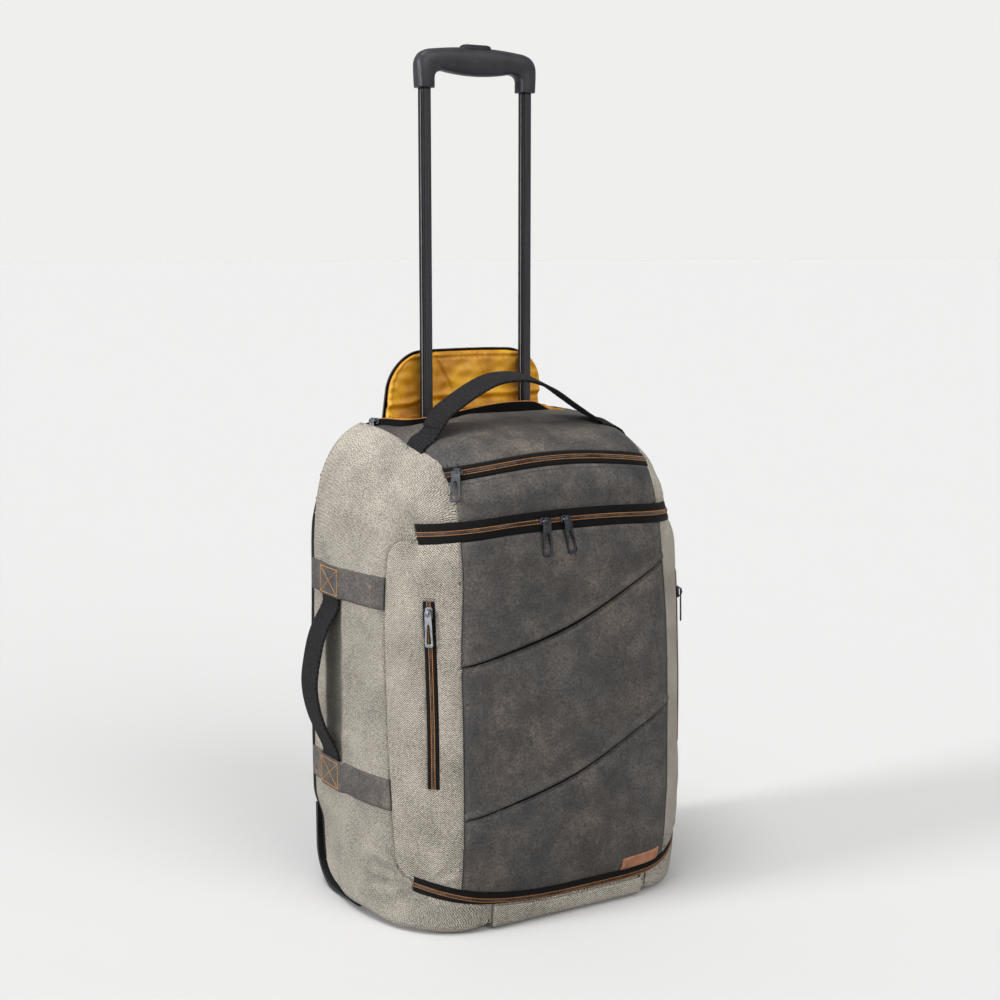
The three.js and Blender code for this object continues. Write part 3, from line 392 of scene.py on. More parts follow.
def grid_faces(rows, cols, wrap_rows=False, wrap_cols=False):
    i = np.arange(rows if wrap_rows else rows - 1)[:, None]
    j = np.arange(cols if wrap_cols else cols - 1)[None, :]
    here, above, beside = i * cols, ((i + 1) % rows) * cols, (j + 1) % cols
    return np.stack([here + j, above + j, above + beside, here + beside], -1).reshape(-1, 4)


def capped_faces(rows, cols):
    """Faces of a tube of rings with both ends closed."""
    faces = [tuple(f) for f in grid_faces(rows, cols, wrap_cols=True)]
    return faces + [tuple(range(cols)), tuple(range((rows - 1) * cols, rows * cols))[::-1]]


def outward(points, faces):
    """Faces of a closed shape, turned so that they all look out."""
    p = points.reshape(-1, 3) - points.reshape(-1, 3).mean(0)
    a, b, c, d = p[np.array([f for f in faces if len(f) == 4])].transpose(1, 0, 2)
    volume = np.sum(a * np.cross(b, c)) + np.sum(a * np.cross(c, d))
    return faces if volume > 0 else [tuple(f)[::-1] for f in faces]


def grid_normals(points):
    return unit(np.cross(np.gradient(points, axis=0), np.gradient(points, axis=1)))


def facing(normals, way):
    """Normals turned to the side that a direction points to."""
    return np.where((normals @ np.asarray(way, float))[..., None] < 0, -normals, normals)


def add_object(name, data):
    made = bpy.data.objects.new(name, data)
    bpy.context.scene.collection.objects.link(made)
    return made


def corner_points(mesh):
    """The number of the point at each corner of a mesh's faces."""
    corner = np.empty(len(mesh.loops), int)
    mesh.loops.foreach_get("vertex_index", corner)
    return corner


def add_mesh(name, points, faces, material, slot, uv=None, body="bag", replaces=()):
    mesh = bpy.data.meshes.new(name)
    places = (np.asarray(points).reshape(-1, 3) + SHIFT) * MM
    mesh.from_pydata(places.tolist(), [], [[int(k) for k in f] for f in faces])
    if uv is not None:
        cloth = (np.asarray(uv).reshape(-1, 2) * MM)[corner_points(mesh)]
        mesh.uv_layers.new(name="cloth").data.foreach_set("uv", cloth.astype(np.float32).ravel())
    mesh.polygons.foreach_set("use_smooth", [True] * len(mesh.polygons))
    mesh.materials.append(material)
    mesh.update()
    piece = add_object(name, mesh)
    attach(piece, body)
    if replaces:
        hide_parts(*replaces)
    return piece


def grid_lengths(points):
    """Cloth coordinates over a grid: lengths along its rows and its columns."""
    down = np.cumsum(np.linalg.norm(np.diff(points, axis=0, prepend=points[:1]), axis=2), 0)
    across = np.cumsum(np.linalg.norm(np.diff(points, axis=1, prepend=points[:, :1]), axis=2), 1)
    return np.stack([down, across], -1)


def add_sheet(name, points, way, material, slot, thickness, **more):
    """A grid of points as cloth with a wall behind the face that looks along way."""
    if (grid_normals(points) @ np.asarray(way, float)).mean() < 0:
        points = points[::-1]
    faces = grid_faces(*points.shape[:2])
    piece = add_mesh(name, points, faces, material, slot, grid_lengths(points), **more)
    return thicken(piece, thickness)


def add_tube(name, rings, material, slot, **more):
    """Rings of points as one closed solid."""
    faces = outward(rings, capped_faces(*rings.shape[:2]))
    return add_mesh(name, rings, faces, material, slot, grid_lengths(rings), **more)


def thicken(piece, thickness):
    wall = piece.modifiers.new("wall", "SOLIDIFY")
    wall.thickness = thickness * MM
    wall.offset = -1.0
    return piece


def soften(piece, width):
    """Rounds the edges of a hard piece and shades it smooth."""
    edge = piece.modifiers.new("edge", "BEVEL")
    edge.width = width * MM
    edge.segments = 2
    edge.limit_method = "ANGLE"
    edge.angle_limit = math.radians(BEVEL_ANGLE)
    edge.harden_normals = True
    piece.data.polygons.foreach_set("use_smooth", [True] * len(piece.data.polygons))
    return piece


def tube_rings(path, side, radius_side, radius_up, count=12):
    """Rings of an oval tube along a path, one of its axes along side."""
    along = unit(np.gradient(path, axis=0))
    side = unit(np.asarray(side, float) - along * (along @ np.asarray(side, float))[:, None])
    up = np.cross(along, side)
    turn = full_turn(count)
    wide = np.cos(turn)[None, :, None] * side[:, None] * radius_side
    return path[:, None] + wide + np.sin(turn)[None, :, None] * up[:, None] * radius_up


def joined(shapes):
    """Several (points, faces) shapes as one."""
    points, faces, start = [], [], 0
    for local, quads in shapes:
        points.append(local.reshape(-1, 3))
        faces += [tuple(int(k) + start for k in f) for f in outward(local, quads)]
        start += len(points[-1])
    return np.concatenate(points), faces


# Body form: arched sections from the back to the front, closed by a bulging front face

def bulge_table(column):
    z = np.arange(-60.0, 640.0, BULGE_STEP)
    kernel = hump(np.arange(-60.0, 61.0, BULGE_STEP), BULGE_SOFTNESS * math.sqrt(2))
    raw = np.pad(np.interp(z, BULGE_Z, BULGE[column]), len(kernel) // 2, mode="edge")
    return z, np.convolve(raw, kernel / kernel.sum(), mode="valid")


BULGE_TABLES = {column: bulge_table(column) for column in BULGE}


def bulge(column, z):
    return np.interp(z, *BULGE_TABLES[column])


def rim(share, power):
    return np.sqrt(np.maximum(0, 1 - share**power))


def section(share):
    """Half width, top, bottom and shoulder height of the section at a share of the depth."""
    from_heel = max(0.0, HEEL - share * DEPTH)
    heel = HEEL - math.sqrt(HEEL * HEEL - from_heel * from_heel)
    base = between(BASE_REAR, BASE_FRONT, fade(share, *SETTLE)) + heel
    half = between(FACE_HALF, REAR_HALF, rim(share, WIDTH_POWER))
    top = between(FACE_TOP, REAR_TOP, rim(share, TOP_POWER))
    bottom = between(FACE_BOTTOM, base, rim(share, BOTTOM_POWER))
    shoulder = between(SHOULDER_REAR, SHOULDER_FRONT, fade(share, *SHOULDER_FALL))
    return half, top, bottom, shoulder


def half_section(share):
    """Right half of a section in x and z, from the middle of its base to the middle of its top."""
    half, top, bottom, shoulder = section(share)
    foot = bottom + BOTTOM_CORNER
    foot_half = half * bulge("spread", foot)
    base_x = np.linspace(0, foot_half - BOTTOM_CORNER, BASE_N, endpoint=False)
    turn = np.linspace(-np.pi / 2, 0, CORNER_N, endpoint=False)
    corner_x = foot_half - BOTTOM_CORNER * (1 - np.cos(turn))
    side_z = np.linspace(foot, shoulder, SIDE_N, endpoint=False)
    lift = np.linspace(0, np.pi / 2, 700)
    crown_z = shoulder + (top - shoulder) * np.sin(lift)
    power = between(SHOULDER_POWER["rear"], SHOULDER_POWER["front"], fade(share, *POWER_FALL))
    crown_x = half * np.cos(lift) ** (2 / power) * bulge("spread", crown_z)
    crown_x[-1] = 0
    parts = [
        np.stack([base_x, np.full(BASE_N, bottom)], 1),
        np.stack([corner_x, bottom + BOTTOM_CORNER * (1 + np.sin(turn))], 1),
        np.stack([half * bulge("spread", side_z), side_z], 1),
        resample(np.stack([crown_x, crown_z], 1), CROWN_N),
    ]
    return np.concatenate(parts)


def to_spine(flat):
    """From points of a section to the upright line in the middle of the face."""
    return np.stack([np.zeros(len(flat)), np.clip(flat[:, 1], SPINE_LOW, SPINE_HIGH)], 1) - flat


def ring(share, y, inset=0.0, closing=0.0):
    """A closed section, drawn in by an inset and then by a share of the way to the spine."""
    right = half_section(share)
    slack = 1 - RIGHT_SLACK * fade(share, *SLACK_RISE)
    flat = np.concatenate([right * [slack, 1], right[1:-1][::-1] * [-1, 1]])
    flat = flat + unit(to_spine(flat)) * inset
    flat = flat + to_spine(flat) * closing
    depth = y - bulge("belly", flat[:, 1]) * share**BELLY_POWER
    return np.stack([flat[:, 0], depth, flat[:, 1]], 1)


def depth_shares():
    """Shares of the depth at even steps round the front corner of the plan."""
    turn = np.linspace(0, np.pi / 2, 900)
    run = DEPTH * np.sin(turn) ** (2 / WIDTH_POWER)
    shares = resample(np.stack([run, (REAR_HALF - FACE_HALF) * np.cos(turn)], 1), DEPTH_N)[:, 0] / DEPTH
    return shares[shares > 1.5 * REAR_EDGE / DEPTH]


def body_grid():
    rows = [ring(0, REAR_Y, REAR_EDGE, c) for c in np.linspace(1, 0, REAR_N, endpoint=False)]
    for turn in np.linspace(0, np.pi / 2, EDGE_N):
        back = REAR_EDGE * (1 - math.cos(turn))
        rows.append(ring(back / DEPTH, REAR_Y - back, REAR_EDGE * (1 - math.sin(turn))))
    rows += [ring(share, REAR_Y - DEPTH * share) for share in depth_shares()]
    for closing in np.linspace(0, 1, FACE_N)[1:]:
        rows.append(ring(1, FRONT_Y - FACE_BULGE * (1 - (1 - closing**2) ** 2), 0, closing))
    return np.array(rows)


def cloth_lengths(points):
    """Cloth coordinates over the body: lengths round the bag and up it, level at the front shoulder."""
    top = points.shape[1] // 2
    right = points[:, : top + 1]
    lengths = grid_lengths(right)[..., 1]
    climb = np.maximum.accumulate(right[..., 2], axis=1)
    level = np.array([np.interp(SHOULDER_FRONT, z, run) for z, run in zip(climb, lengths)])
    up = lengths - level[:, None] + SHOULDER_FRONT
    up = np.concatenate([up, up[:, 1:-1][:, ::-1]], 1)
    return np.stack([grid_lengths(points)[..., 0], up], -1)


class Skin:
    """A triangle mesh with cloth coordinates that can be cut along level lines."""

    def __init__(self, points, uv, tris):
        self.points, self.uv, self.tris = points, uv, tris

    def weld(self):
        _, first, same = np.unique(np.round(self.points, 3), axis=0, return_index=True, return_inverse=True)
        self.points, self.uv = self.points[first], self.uv[first]
        tris = same.reshape(-1)[self.tris]
        flat = (tris[:, 0] == tris[:, 1]) | (tris[:, 1] == tris[:, 2]) | (tris[:, 2] == tris[:, 0])
        self.tris = tris[~flat]
        return self

    def cut(self, level, where=None):
        """Splits the edges that the line level = 0 crosses, in triangles within where and beside them."""
        f = level(*self.points.T)
        f = np.where(np.abs(f) < 1e-4, 1e-4, f)
        t = self.tris
        over = f[t] > 0
        crossing = over != np.roll(over, -1, axis=1)
        wanted = crossing
        if where is not None:
            wanted = crossing & where(*self.points[t].mean(1).T)[:, None]
        after = np.roll(t, -1, axis=1)
        count = len(self.points)
        key = np.minimum(t, after) * count + np.maximum(t, after)
        keys = np.unique(key[wanted])
        if not len(keys):
            return
        split = np.isin(key, keys)
        fresh = np.searchsorted(keys, key) + count
        low, high = keys // count, keys % count
        share = (f[low] / (f[low] - f[high]))[:, None]
        self.points, self.uv = [
            np.concatenate([rows, between(rows[low], rows[high], share)]) for rows in (self.points, self.uv)
        ]
        total = split.sum(1)
        kept = [t[total == 0]]
        two = total == 2
        lone = np.argmax(split[two] & np.roll(split[two], 1, axis=1), axis=1)
        a, b, c, p, q = turned(t[two], fresh[two], lone)
        kept += [np.stack(tri, 1) for tri in ((a, p, q), (p, b, c), (p, c, q))]
        one = total == 1
        a, b, c, p, q = turned(t[one], fresh[one], np.argmax(split[one], axis=1))
        kept += [np.stack(tri, 1) for tri in ((a, p, c), (p, b, c))]
        self.tris = np.concatenate(kept)

    def normals(self):
        p = self.points[self.tris]
        face = np.cross(p[:, 1] - p[:, 0], p[:, 2] - p[:, 0])
        total = np.zeros_like(self.points)
        for k in range(3):
            np.add.at(total, self.tris[:, k], face)
        return unit(total)

    def part(self, keep):
        """The kept triangles as a skin of their own, with the old number of each point."""
        used, fresh = np.unique(self.tris[keep], return_inverse=True)
        return Skin(self.points[used], self.uv[used], fresh.reshape(-1, 3)), used

    def from_rim(self, reach):
        """Distance of every point from the open edge, up to a reach."""
        edges = np.sort(np.concatenate([self.tris[:, [0, 1]], self.tris[:, [1, 2]], self.tris[:, [2, 0]]]), 1)
        single, count = np.unique(edges, axis=0, return_counts=True)
        ends = self.points[single[count == 1]]
        rim_points = np.concatenate([ends[:, 0] * (1 - k) + ends[:, 1] * k for k in (0, 0.25, 0.5, 0.75)])
        tree = KDTree(len(rim_points))
        for k, point in enumerate(rim_points):
            tree.insert(point, k)
        tree.balance()
        return np.array([min(reach, tree.find(point)[2]) for point in self.points])


def turned(tris, fresh, first):
    """Corners of triangles from a first one on, and the fresh points on the edges after and before it."""
    pick = np.arange(len(tris))
    corners = [tris[pick, (first + k) % 3] for k in range(3)]
    return corners + [fresh[pick, first], fresh[pick, (first + 2) % 3]]


def body_skin():
    grid = body_grid()
    quads = grid_faces(*grid.shape[:2], wrap_cols=True)
    tris = np.concatenate([quads[:, [0, 1, 2]], quads[:, [0, 2, 3]]])
    skin = Skin(grid.reshape(-1, 3), cloth_lengths(grid).reshape(-1, 2), tris).weld()
    p = skin.points[skin.tris]
    if np.einsum("ij,ij->i", p[:, 0], np.cross(p[:, 1], p[:, 2])).sum() < 0:
        skin.tris = skin.tris[:, ::-1]
    return skin


BODY = body_skin()
TREES = {"body": BVHTree.FromPolygons(BODY.points.tolist(), BODY.tris.tolist())}


def meet(point, way, sewn):
    """Where a ray meets the body or, for sewn-on trim, the panel over it."""
    hit = TREES["body"].ray_cast(point, way)[0]
    panel = TREES["panels"].ray_cast(point, way)[0] if sewn else None
    if panel and hit and (panel - hit).length < SEWN_DEPTH:
        hit = panel
    return (np.nan,) * 3 if hit is None else hit


def cast(x, y, z, way, sewn=False):
    """Where rays along way from far off meet the bag; the coordinate along way is given as None."""
    shape = np.broadcast(*[np.asarray(c, float) for c in (x, y, z) if c is not None]).shape
    parts = []
    for value, step in zip((x, y, z), way):
        start = -RAY_START * step if value is None else value
        parts.append(np.broadcast_to(np.asarray(start, float), shape).ravel())
    hits = [meet(Vector(point), Vector(way), sewn) for point in np.stack(parts, 1)]
    return np.array(hits, float).reshape(shape + (3,))


def on_front(x, z, sewn=False):
    return cast(x, None, z, (0, 1, 0), sewn)


def on_top(x, y):
    return cast(x, y, None, (0, 0, -1))


def on_left(y, z):
    return cast(None, y, z, (1, 0, 0))


# Seam lines

def parabola(row):
    return lambda x: between(row["middle"], row["end"], (x / row["half"]) ** 2)


main_line = parabola(MAIN_ZIP)
top_line = parabola(TOP_ZIP)


def base_line(x):
    """The base zip climbs evenly to the left, and on the right only near its end."""
    share = np.minimum(BASE_ZIP["reach"], np.abs(x) / BASE_ZIP["half"])
    power = np.where(np.less(x, 0), BASE_ZIP["left"], BASE_ZIP["right"])
    return between(BASE_ZIP["middle"], BASE_ZIP["end"], share**power)


def slit_line(start):
    def line(x):
        run = np.maximum(0, x - SLITS["left"])
        return start + SLITS["lean"] * run + SLITS["curve"] * run * run
    return line


upper_slit = slit_line(SLITS["upper"])
lower_slit = slit_line(SLITS["lower"])


def leather_edge(y, z):
    """Half width of the leather strip: a little narrower up the front, wider over the crown."""
    front = between(LEATHER["low"], LEATHER["high"], fade(z, *LEATHER["taper"]))
    return front + (LEATHER["crown"] - LEATHER["high"]) * fade(y, *LEATHER["widen"])


def base_tape(x):
    """Half width of the base zip's tape, wider towards its left end."""
    size = BASE_ZIP["narrow"] + BASE_ZIP["wider"] * fade(-x, *BASE_ZIP["widen"])
    return BASE_ZIP["tape"] / 2 * size


def side_zip_x(x):
    """Distance of the side zip from the middle, on the side where x lies."""
    return np.where(np.less(x, 0), SIDE_ZIP["left"], SIDE_ZIP["right"])


def back_seam(z):
    """Depth of the seam to the back panel, which runs out of sight over the shoulders."""
    return between(BACK_SEAM["low"], BACK_SEAM["high"], fade(z, BACK_SEAM["from"], BACK_SEAM["run"]))


def ridge(z):
    """Depth of the door's edge along the side, further back towards the top."""
    return RIDGE["y"] + RIDGE["lean"] * (z - RIDGE["at"])


def door_level(x, y, z):
    """Signed distance from the front door's edge along the side, with rounded corners at the zips' ends."""
    high = main_line(x) - MAIN_ZIP["tape"] / 2 + DOOR_LAP
    low = base_line(x) + base_tape(x) - DOOR_LAP
    across = y - (ridge(z) - DOOR_CORNER)
    return rounded_corner(across, np.maximum(z - high, low - z) + DOOR_CORNER, DOOR_CORNER)


def pocket_level(x, y):
    """Signed distance from the outline of the handle pocket, seen from above."""
    corner = POCKET["corner"]
    middle = (POCKET["front"] + POCKET["rear"]) / 2
    across = np.abs(x) - (POCKET["half"] + 1 - corner)
    along = np.abs(y - middle) - ((POCKET["rear"] - POCKET["front"]) / 2 + 1 - corner)
    return rounded_corner(across, along, corner)


def well_level(y, z):
    """Signed distance from the opening for a wheel, seen from the side."""
    over = np.hypot(np.minimum(y - WHEEL["y"], 0), np.maximum(z - WHEEL["z"], 0))
    return over - WELL["radius"] - WELL["wall"]


# Materials

def srgb(r, g, b):
    channels = np.array([r, g, b]) / 255
    linear = np.where(channels <= 0.04045, channels / 12.92, ((channels + 0.055) / 1.055) ** 2.4)
    return (*[float(c) for c in linear], 1.0)


class Look:
    """A node material built step by step round one shader."""

    def __init__(self, name, colour, roughness, **sockets):
        self.material = bpy.data.materials.new(name)
        self.material.use_nodes = True
        self.nodes = self.material.node_tree.nodes
        self.links = self.material.node_tree.links
        self.shader = next(n for n in self.nodes if n.type == "BSDF_PRINCIPLED")
        self.shader.inputs["Base Color"].default_value = colour
        self.shader.inputs["Roughness"].default_value = roughness
        for socket, value in sockets.items():
            self.shader.inputs[socket.replace("_", " ")].default_value = value

    def node(self, kind, inputs=(), **settings):
        made = self.nodes.new(kind)
        for key, value in settings.items():
            setattr(made, key, value)
        for socket, value in dict(inputs).items():
            self.feed(made.inputs[socket], value)
        return made

    def feed(self, socket, value):
        if isinstance(value, bpy.types.NodeSocket):
            self.links.new(value, socket)
        else:
            socket.default_value = value

    def math(self, operation, a, b=0.0):
        return self.node("ShaderNodeMath", {0: a, 1: b}, operation=operation).outputs[0]

    def total(self, *values):
        result = values[0]
        for value in values[1:]:
            result = self.math("ADD", result, value)
        return result

    def cloth(self):
        """Cloth coordinates in millimetres, along and across."""
        uv = self.node("ShaderNodeUVMap", uv_map="cloth").outputs[0]
        split = self.node("ShaderNodeSeparateXYZ", {0: uv})
        return [self.math("MULTIPLY", split.outputs[k], 1 / MM) for k in (0, 1)]

    def wave(self, value, pitch, size=1.0):
        turns = self.math("SINE", self.math("MULTIPLY", value, 2 * math.pi / pitch))
        return self.math("MULTIPLY", turns, size)

    def place(self):
        return self.node("ShaderNodeTexCoord").outputs["Object"]

    def noise(self, size, detail=3.0, vector=None, roughness=0.55):
        """Noise from 0 to 1 whose largest blotches are about a size in millimetres."""
        inputs = {"Vector": vector or self.place(), "Scale": 1 / (size * MM)}
        inputs.update({"Detail": detail, "Roughness": roughness})
        return self.node("ShaderNodeTexNoise", inputs).outputs["Fac"]

    def ramp(self, fac, *stops):
        made = self.node("ShaderNodeValToRGB", {"Fac": fac})
        bar = made.color_ramp.elements
        while len(bar) < len(stops):
            bar.new(0.5)
        for element, (at, colour) in zip(bar, stops):
            element.position = at
            element.color = colour
        return made.outputs["Color"]

    def mix(self, fac, a, b, blend="MIX"):
        made = self.node("ShaderNodeMix", data_type="RGBA", blend_type=blend)
        for socket, value in zip((made.inputs[0], made.inputs[6], made.inputs[7]), (fac, a, b)):
            self.feed(socket, value)
        return made.outputs[2]

    def remap(self, value, low, high, to_low, to_high):
        inputs = {"Value": value, "From Min": low, "From Max": high, "To Min": to_low, "To Max": to_high}
        return self.node("ShaderNodeMapRange", inputs).outputs["Result"]

    def spread(self, noise, low, high):
        """Noise, which lies mostly between 0.3 and 0.7, spread from low to high."""
        return self.remap(noise, 0.3, 0.7, low, high)

    def pebbles(self, size):
        """Distances from the middles of rounded cells of about a size in millimetres."""
        cells = self.node("ShaderNodeTexVoronoi", {"Vector": self.place(), "Scale": 1 / (size * MM)})
        return cells.outputs["Distance"]

    def colour(self, socket):
        self.links.new(socket, self.shader.inputs["Base Color"])

    def rough(self, socket):
        self.links.new(socket, self.shader.inputs["Roughness"])

    def bump(self, height, distance, strength=1.0):
        inputs = {"Height": height, "Distance": distance * MM, "Strength": strength}
        made = self.node("ShaderNodeBump", inputs)
        before = self.shader.inputs["Normal"].links
        if before:
            self.links.new(before[0].from_socket, made.inputs["Normal"])
        self.links.new(made.outputs[0], self.shader.inputs["Normal"])


def weave_look():
    """Grey heather cloth in a herringbone twill: pale and grey-brown yarns in columns of slanting ribs."""
    look = Look("grey_weave", srgb(152, 145, 134), 0.95, Specular_IOR_Level=0.2, Sheen_Weight=0.12)
    u, v = look.cloth()
    slant = look.wave(look.total(v, look.math("PINGPONG", u, 4.2)), 2.5)
    yarn = look.math("MULTIPLY", look.wave(u, 1.45), look.wave(v, 1.45))
    height = look.total(slant, look.math("MULTIPLY", yarn, 0.5))
    heather = look.spread(look.noise(1.7, 3.0), -0.7, 0.7)
    blotch = look.spread(look.noise(45.0, 2.0), -0.25, 0.25)
    tone = look.remap(look.total(height, heather, blotch), -1.35, 1.35, 0.0, 1.0)
    dark, middle, pale = srgb(46, 42, 37), srgb(152, 145, 133), srgb(226, 218, 205)
    look.colour(look.ramp(tone, (0.0, dark), (0.5, middle), (1.0, pale)))
    look.bump(height, 0.22, 0.9)
    return look.material


def leather_look(name, light_gain=1.0):
    """Brushed dark leather-look cloth: soft brown and slate clouds over a fine suede grain."""
    look = Look(name, srgb(70, 66, 63), 0.7, Specular_IOR_Level=0.3)
    cloud = look.noise(34.0, 6.0, roughness=0.66)
    patch = look.remap(look.noise(110.0, 2.0), 0.4, 0.62, 0.0, 1.0)
    warm = look.ramp(cloud, (0.30, srgb(57, 54, 53)), (0.5, srgb(77, 72, 68)), (0.70, srgb(104, 96, 89)))
    cool = look.ramp(cloud, (0.30, srgb(52, 52, 54)), (0.5, srgb(70, 68, 67)), (0.72, srgb(93, 88, 84)))
    # A gain above 1 brightens the whole colour; the side bands use it as painted light.
    speckle = look.remap(look.noise(2.6, 3.0, roughness=0.8), 0.32, 0.68, 0.5 * light_gain, 1.58 * light_gain)
    grey = look.node("ShaderNodeCombineColor", {0: speckle, 1: speckle, 2: speckle}).outputs[0]
    look.colour(look.mix(1.0, look.mix(patch, cool, warm), grey, "MULTIPLY"))
    look.rough(look.spread(cloud, 0.62, 0.8))
    look.bump(look.pebbles(1.5), 0.12, 0.35)
    look.bump(look.noise(7.0, 3.0), 0.35, 0.3)
    return look.material


def ribbed_look(name, low, high, pitch, depth, roughness=0.85):
    """Dark woven tape: fine slanting ribs crossed by the weft."""
    look = Look(name, low, roughness, Specular_IOR_Level=0.14, Sheen_Weight=0.03)
    u, v = look.cloth()
    rib = look.wave(look.total(v, look.math("PINGPONG", u, 3.0)), pitch)
    height = look.total(rib, look.wave(u, pitch * 0.7, 0.5))
    fleck = look.spread(look.noise(3.0, 3.0), -0.8, 0.8)
    tone = look.remap(look.total(height, fleck), -2.0, 2.0, 0.0, 1.0)
    look.colour(look.ramp(tone, (0.42, low), (0.74, high)))
    look.bump(height, depth, 0.8)
    return look.material


def satin_look():
    """Mustard satin lining with soft creases."""
    look = Look("mustard_satin", srgb(206, 144, 14), 0.52, Sheen_Weight=0.03, Sheen_Roughness=0.35)
    look.shader.inputs["Sheen Tint"].default_value = srgb(255, 214, 120)
    stops = ((0.28, srgb(158, 97, 2)), (0.5, srgb(202, 138, 5)), (0.74, srgb(236, 180, 24)))
    look.colour(look.ramp(look.noise(30.0, 4.0), *stops))
    u, v = look.cloth()
    look.bump(look.wave(look.total(u, v), 0.9), 0.03, 0.5)
    look.bump(look.noise(14.0, 3.0), 1.1, 0.4)
    return look.material


def thread_look(name, low, high, roughness=0.55):
    """Twisted sewing thread."""
    look = Look(name, low, roughness, Sheen_Weight=0.1)
    look.colour(look.ramp(look.noise(1.4, 3.0), (0.3, low), (0.7, high)))
    look.bump(look.noise(0.7, 2.0), 0.08, 0.6)
    return look.material


def metal_look(name, low, high, roughness):
    """Cast metal with faint handling marks."""
    look = Look(name, low, roughness, Metallic=0.9)
    scuff = look.noise(6.0, 5.0, roughness=0.7)
    look.colour(look.ramp(scuff, (0.35, low), (0.7, high)))
    look.rough(look.spread(scuff, roughness - 0.08, roughness + 0.12))
    look.bump(look.noise(1.2, 2.0), 0.03, 0.4)
    return look.material


def moulded_look(name, low, high, roughness, grain):
    """Moulded plastic or rubber with a fine spark-eroded grain."""
    look = Look(name, low, roughness, Specular_IOR_Level=0.25)
    look.colour(look.ramp(look.noise(20.0, 4.0), (0.35, low), (0.7, high)))
    look.rough(look.spread(look.noise(9.0, 4.0), roughness - 0.06, roughness + 0.08))
    look.bump(look.noise(0.8, 2.0), grain, 0.5)
    return look.material


def tube_look(name, low, high, gloss):
    """Anodised tube with faint drawing lines along it."""
    look = Look(name, low, 0.4, Specular_IOR_Level=gloss)
    stretch = look.node("ShaderNodeMapping", {"Vector": look.place(), "Scale": (1.0, 1.0, 0.02)}).outputs[0]
    lines = look.noise(1.2, 3.0, vector=stretch)
    look.colour(look.ramp(lines, (0.3, low), (0.7, high)))
    look.rough(look.spread(lines, 0.32, 0.46))
    return look.material


def tan_look():
    """Plain tan leather."""
    look = Look("tan_leather", srgb(168, 116, 86), 0.65, Specular_IOR_Level=0.3)
    stops = ((0.3, srgb(146, 98, 72)), (0.55, srgb(170, 120, 92)), (0.8, srgb(190, 142, 114)))
    look.colour(look.ramp(look.noise(12.0, 5.0), *stops))
    look.bump(look.pebbles(1.1), 0.1, 0.4)
    return look.material


WEAVE = weave_look()
DARK_LEATHER = leather_look("dark_leather")
# The bands' leather is the dark leather made 1.2 times brighter: painted light on the side that faces the
# lamp.
LIT_BAND_LEATHER = leather_look("band_leather_painted_light", 1.2)
WEBBING = ribbed_look("dark_webbing", srgb(2, 2, 3), srgb(44, 42, 46), 3.3, 0.45)
TAPE = ribbed_look("black_tape", srgb(2, 2, 2), srgb(11, 10, 12), 1.2, 0.07)
# This near-black cloth fills the depth of the front slits as painted shadow.
SLIT_SHADOW_BLACK = ribbed_look("slit_shadow_black", srgb(2, 2, 2), srgb(6, 6, 6), 1.2, 0.05)
BACK_CLOTH = ribbed_look("back_cloth", srgb(18, 18, 20), srgb(64, 64, 68), 3.0, 0.25)
SATIN = satin_look()
COPPER = thread_look("copper_thread", srgb(142, 84, 34), srgb(204, 140, 70))
ORANGE = thread_look("orange_thread", srgb(188, 118, 30), srgb(226, 164, 58))
DARK_THREAD = thread_look("dark_thread", srgb(20, 19, 19), srgb(40, 38, 37))
COIL = moulded_look("zip_coil", srgb(44, 41, 40), srgb(120, 110, 102), 0.35, 0.02)
GUNMETAL = metal_look("gunmetal", srgb(84, 85, 90), srgb(122, 124, 129), 0.34)
DARK_METAL = metal_look("dark_gunmetal", srgb(44, 45, 49), srgb(74, 76, 81), 0.34)
PLASTIC = moulded_look("charcoal_plastic", srgb(26, 26, 28), srgb(38, 38, 41), 0.5, 0.05)
GRIP_PLASTIC = moulded_look("grip_plastic", srgb(46, 46, 50), srgb(60, 60, 66), 0.38, 0.05)
RUBBER = moulded_look("tyre_rubber", srgb(28, 28, 30), srgb(44, 43, 44), 0.75, 0.08)
STEEL = metal_look("axle_steel", srgb(140, 142, 148), srgb(176, 178, 184), 0.35)
GREY_TUBE = tube_look("grey_tube", srgb(50, 49, 52), srgb(60, 59, 62), 0.2)
# On the poles' side faces this black is partly the channels' own dark finish and partly painted shade; on the
# guide tubes it is their own colour.
BLACK_TUBE = tube_look("black_tube", srgb(7, 7, 8), srgb(13, 13, 14), 0.12)
# This pale tube colour is a painted highlight: the bright line down the middle of each pole's side channel
# stands in for the lamp's reflection.
POLE_HIGHLIGHT_TUBE = tube_look("painted_highlight_tube", srgb(130, 130, 134), srgb(160, 160, 164), 0.5)
TAN = tan_look()


# Panels of the body, cut along the seams

def half_tape(row):
    return lambda x: row["tape"] / 2


ZIP_LINES = (
    (main_line, half_tape(MAIN_ZIP), MAIN_ZIP["half"]),
    (top_line, half_tape(TOP_ZIP), TOP_ZIP["half"]),
    (base_line, base_tape, BASE_ZIP["half"]),
)


def cut_seams(skin):
    """Cuts the body along all its seams, with a few more lines beside each for the sunk seam edge."""
    def seam(level, where, loops=SEAM_LOOPS):
        for offset in sorted({*loops, *(-k for k in loops)}):
            skin.cut(lambda x, y, z: level(x, y, z) - offset, where)

    cut_panels(seam)
    cut_front_zips(seam)
    cut_side_zips(seam)
    cut_base_and_pocket(seam)
    return skin


def cut_panels(seam):
    seam(lambda x, y, z: y - back_seam(z), lambda x, y, z: y > CUT["back"], BACK_LOOPS)
    seam(door_level, lambda x, y, z: (z < CUT["door_top"]) & (np.abs(x) > CUT["door_half"]))
    strip = lambda x, y, z: (y < REAR_Y - CUT["rear_gap"]) & (z > CUT["leather_low"])
    seam(lambda x, y, z: np.abs(x) - leather_edge(y, z), strip)


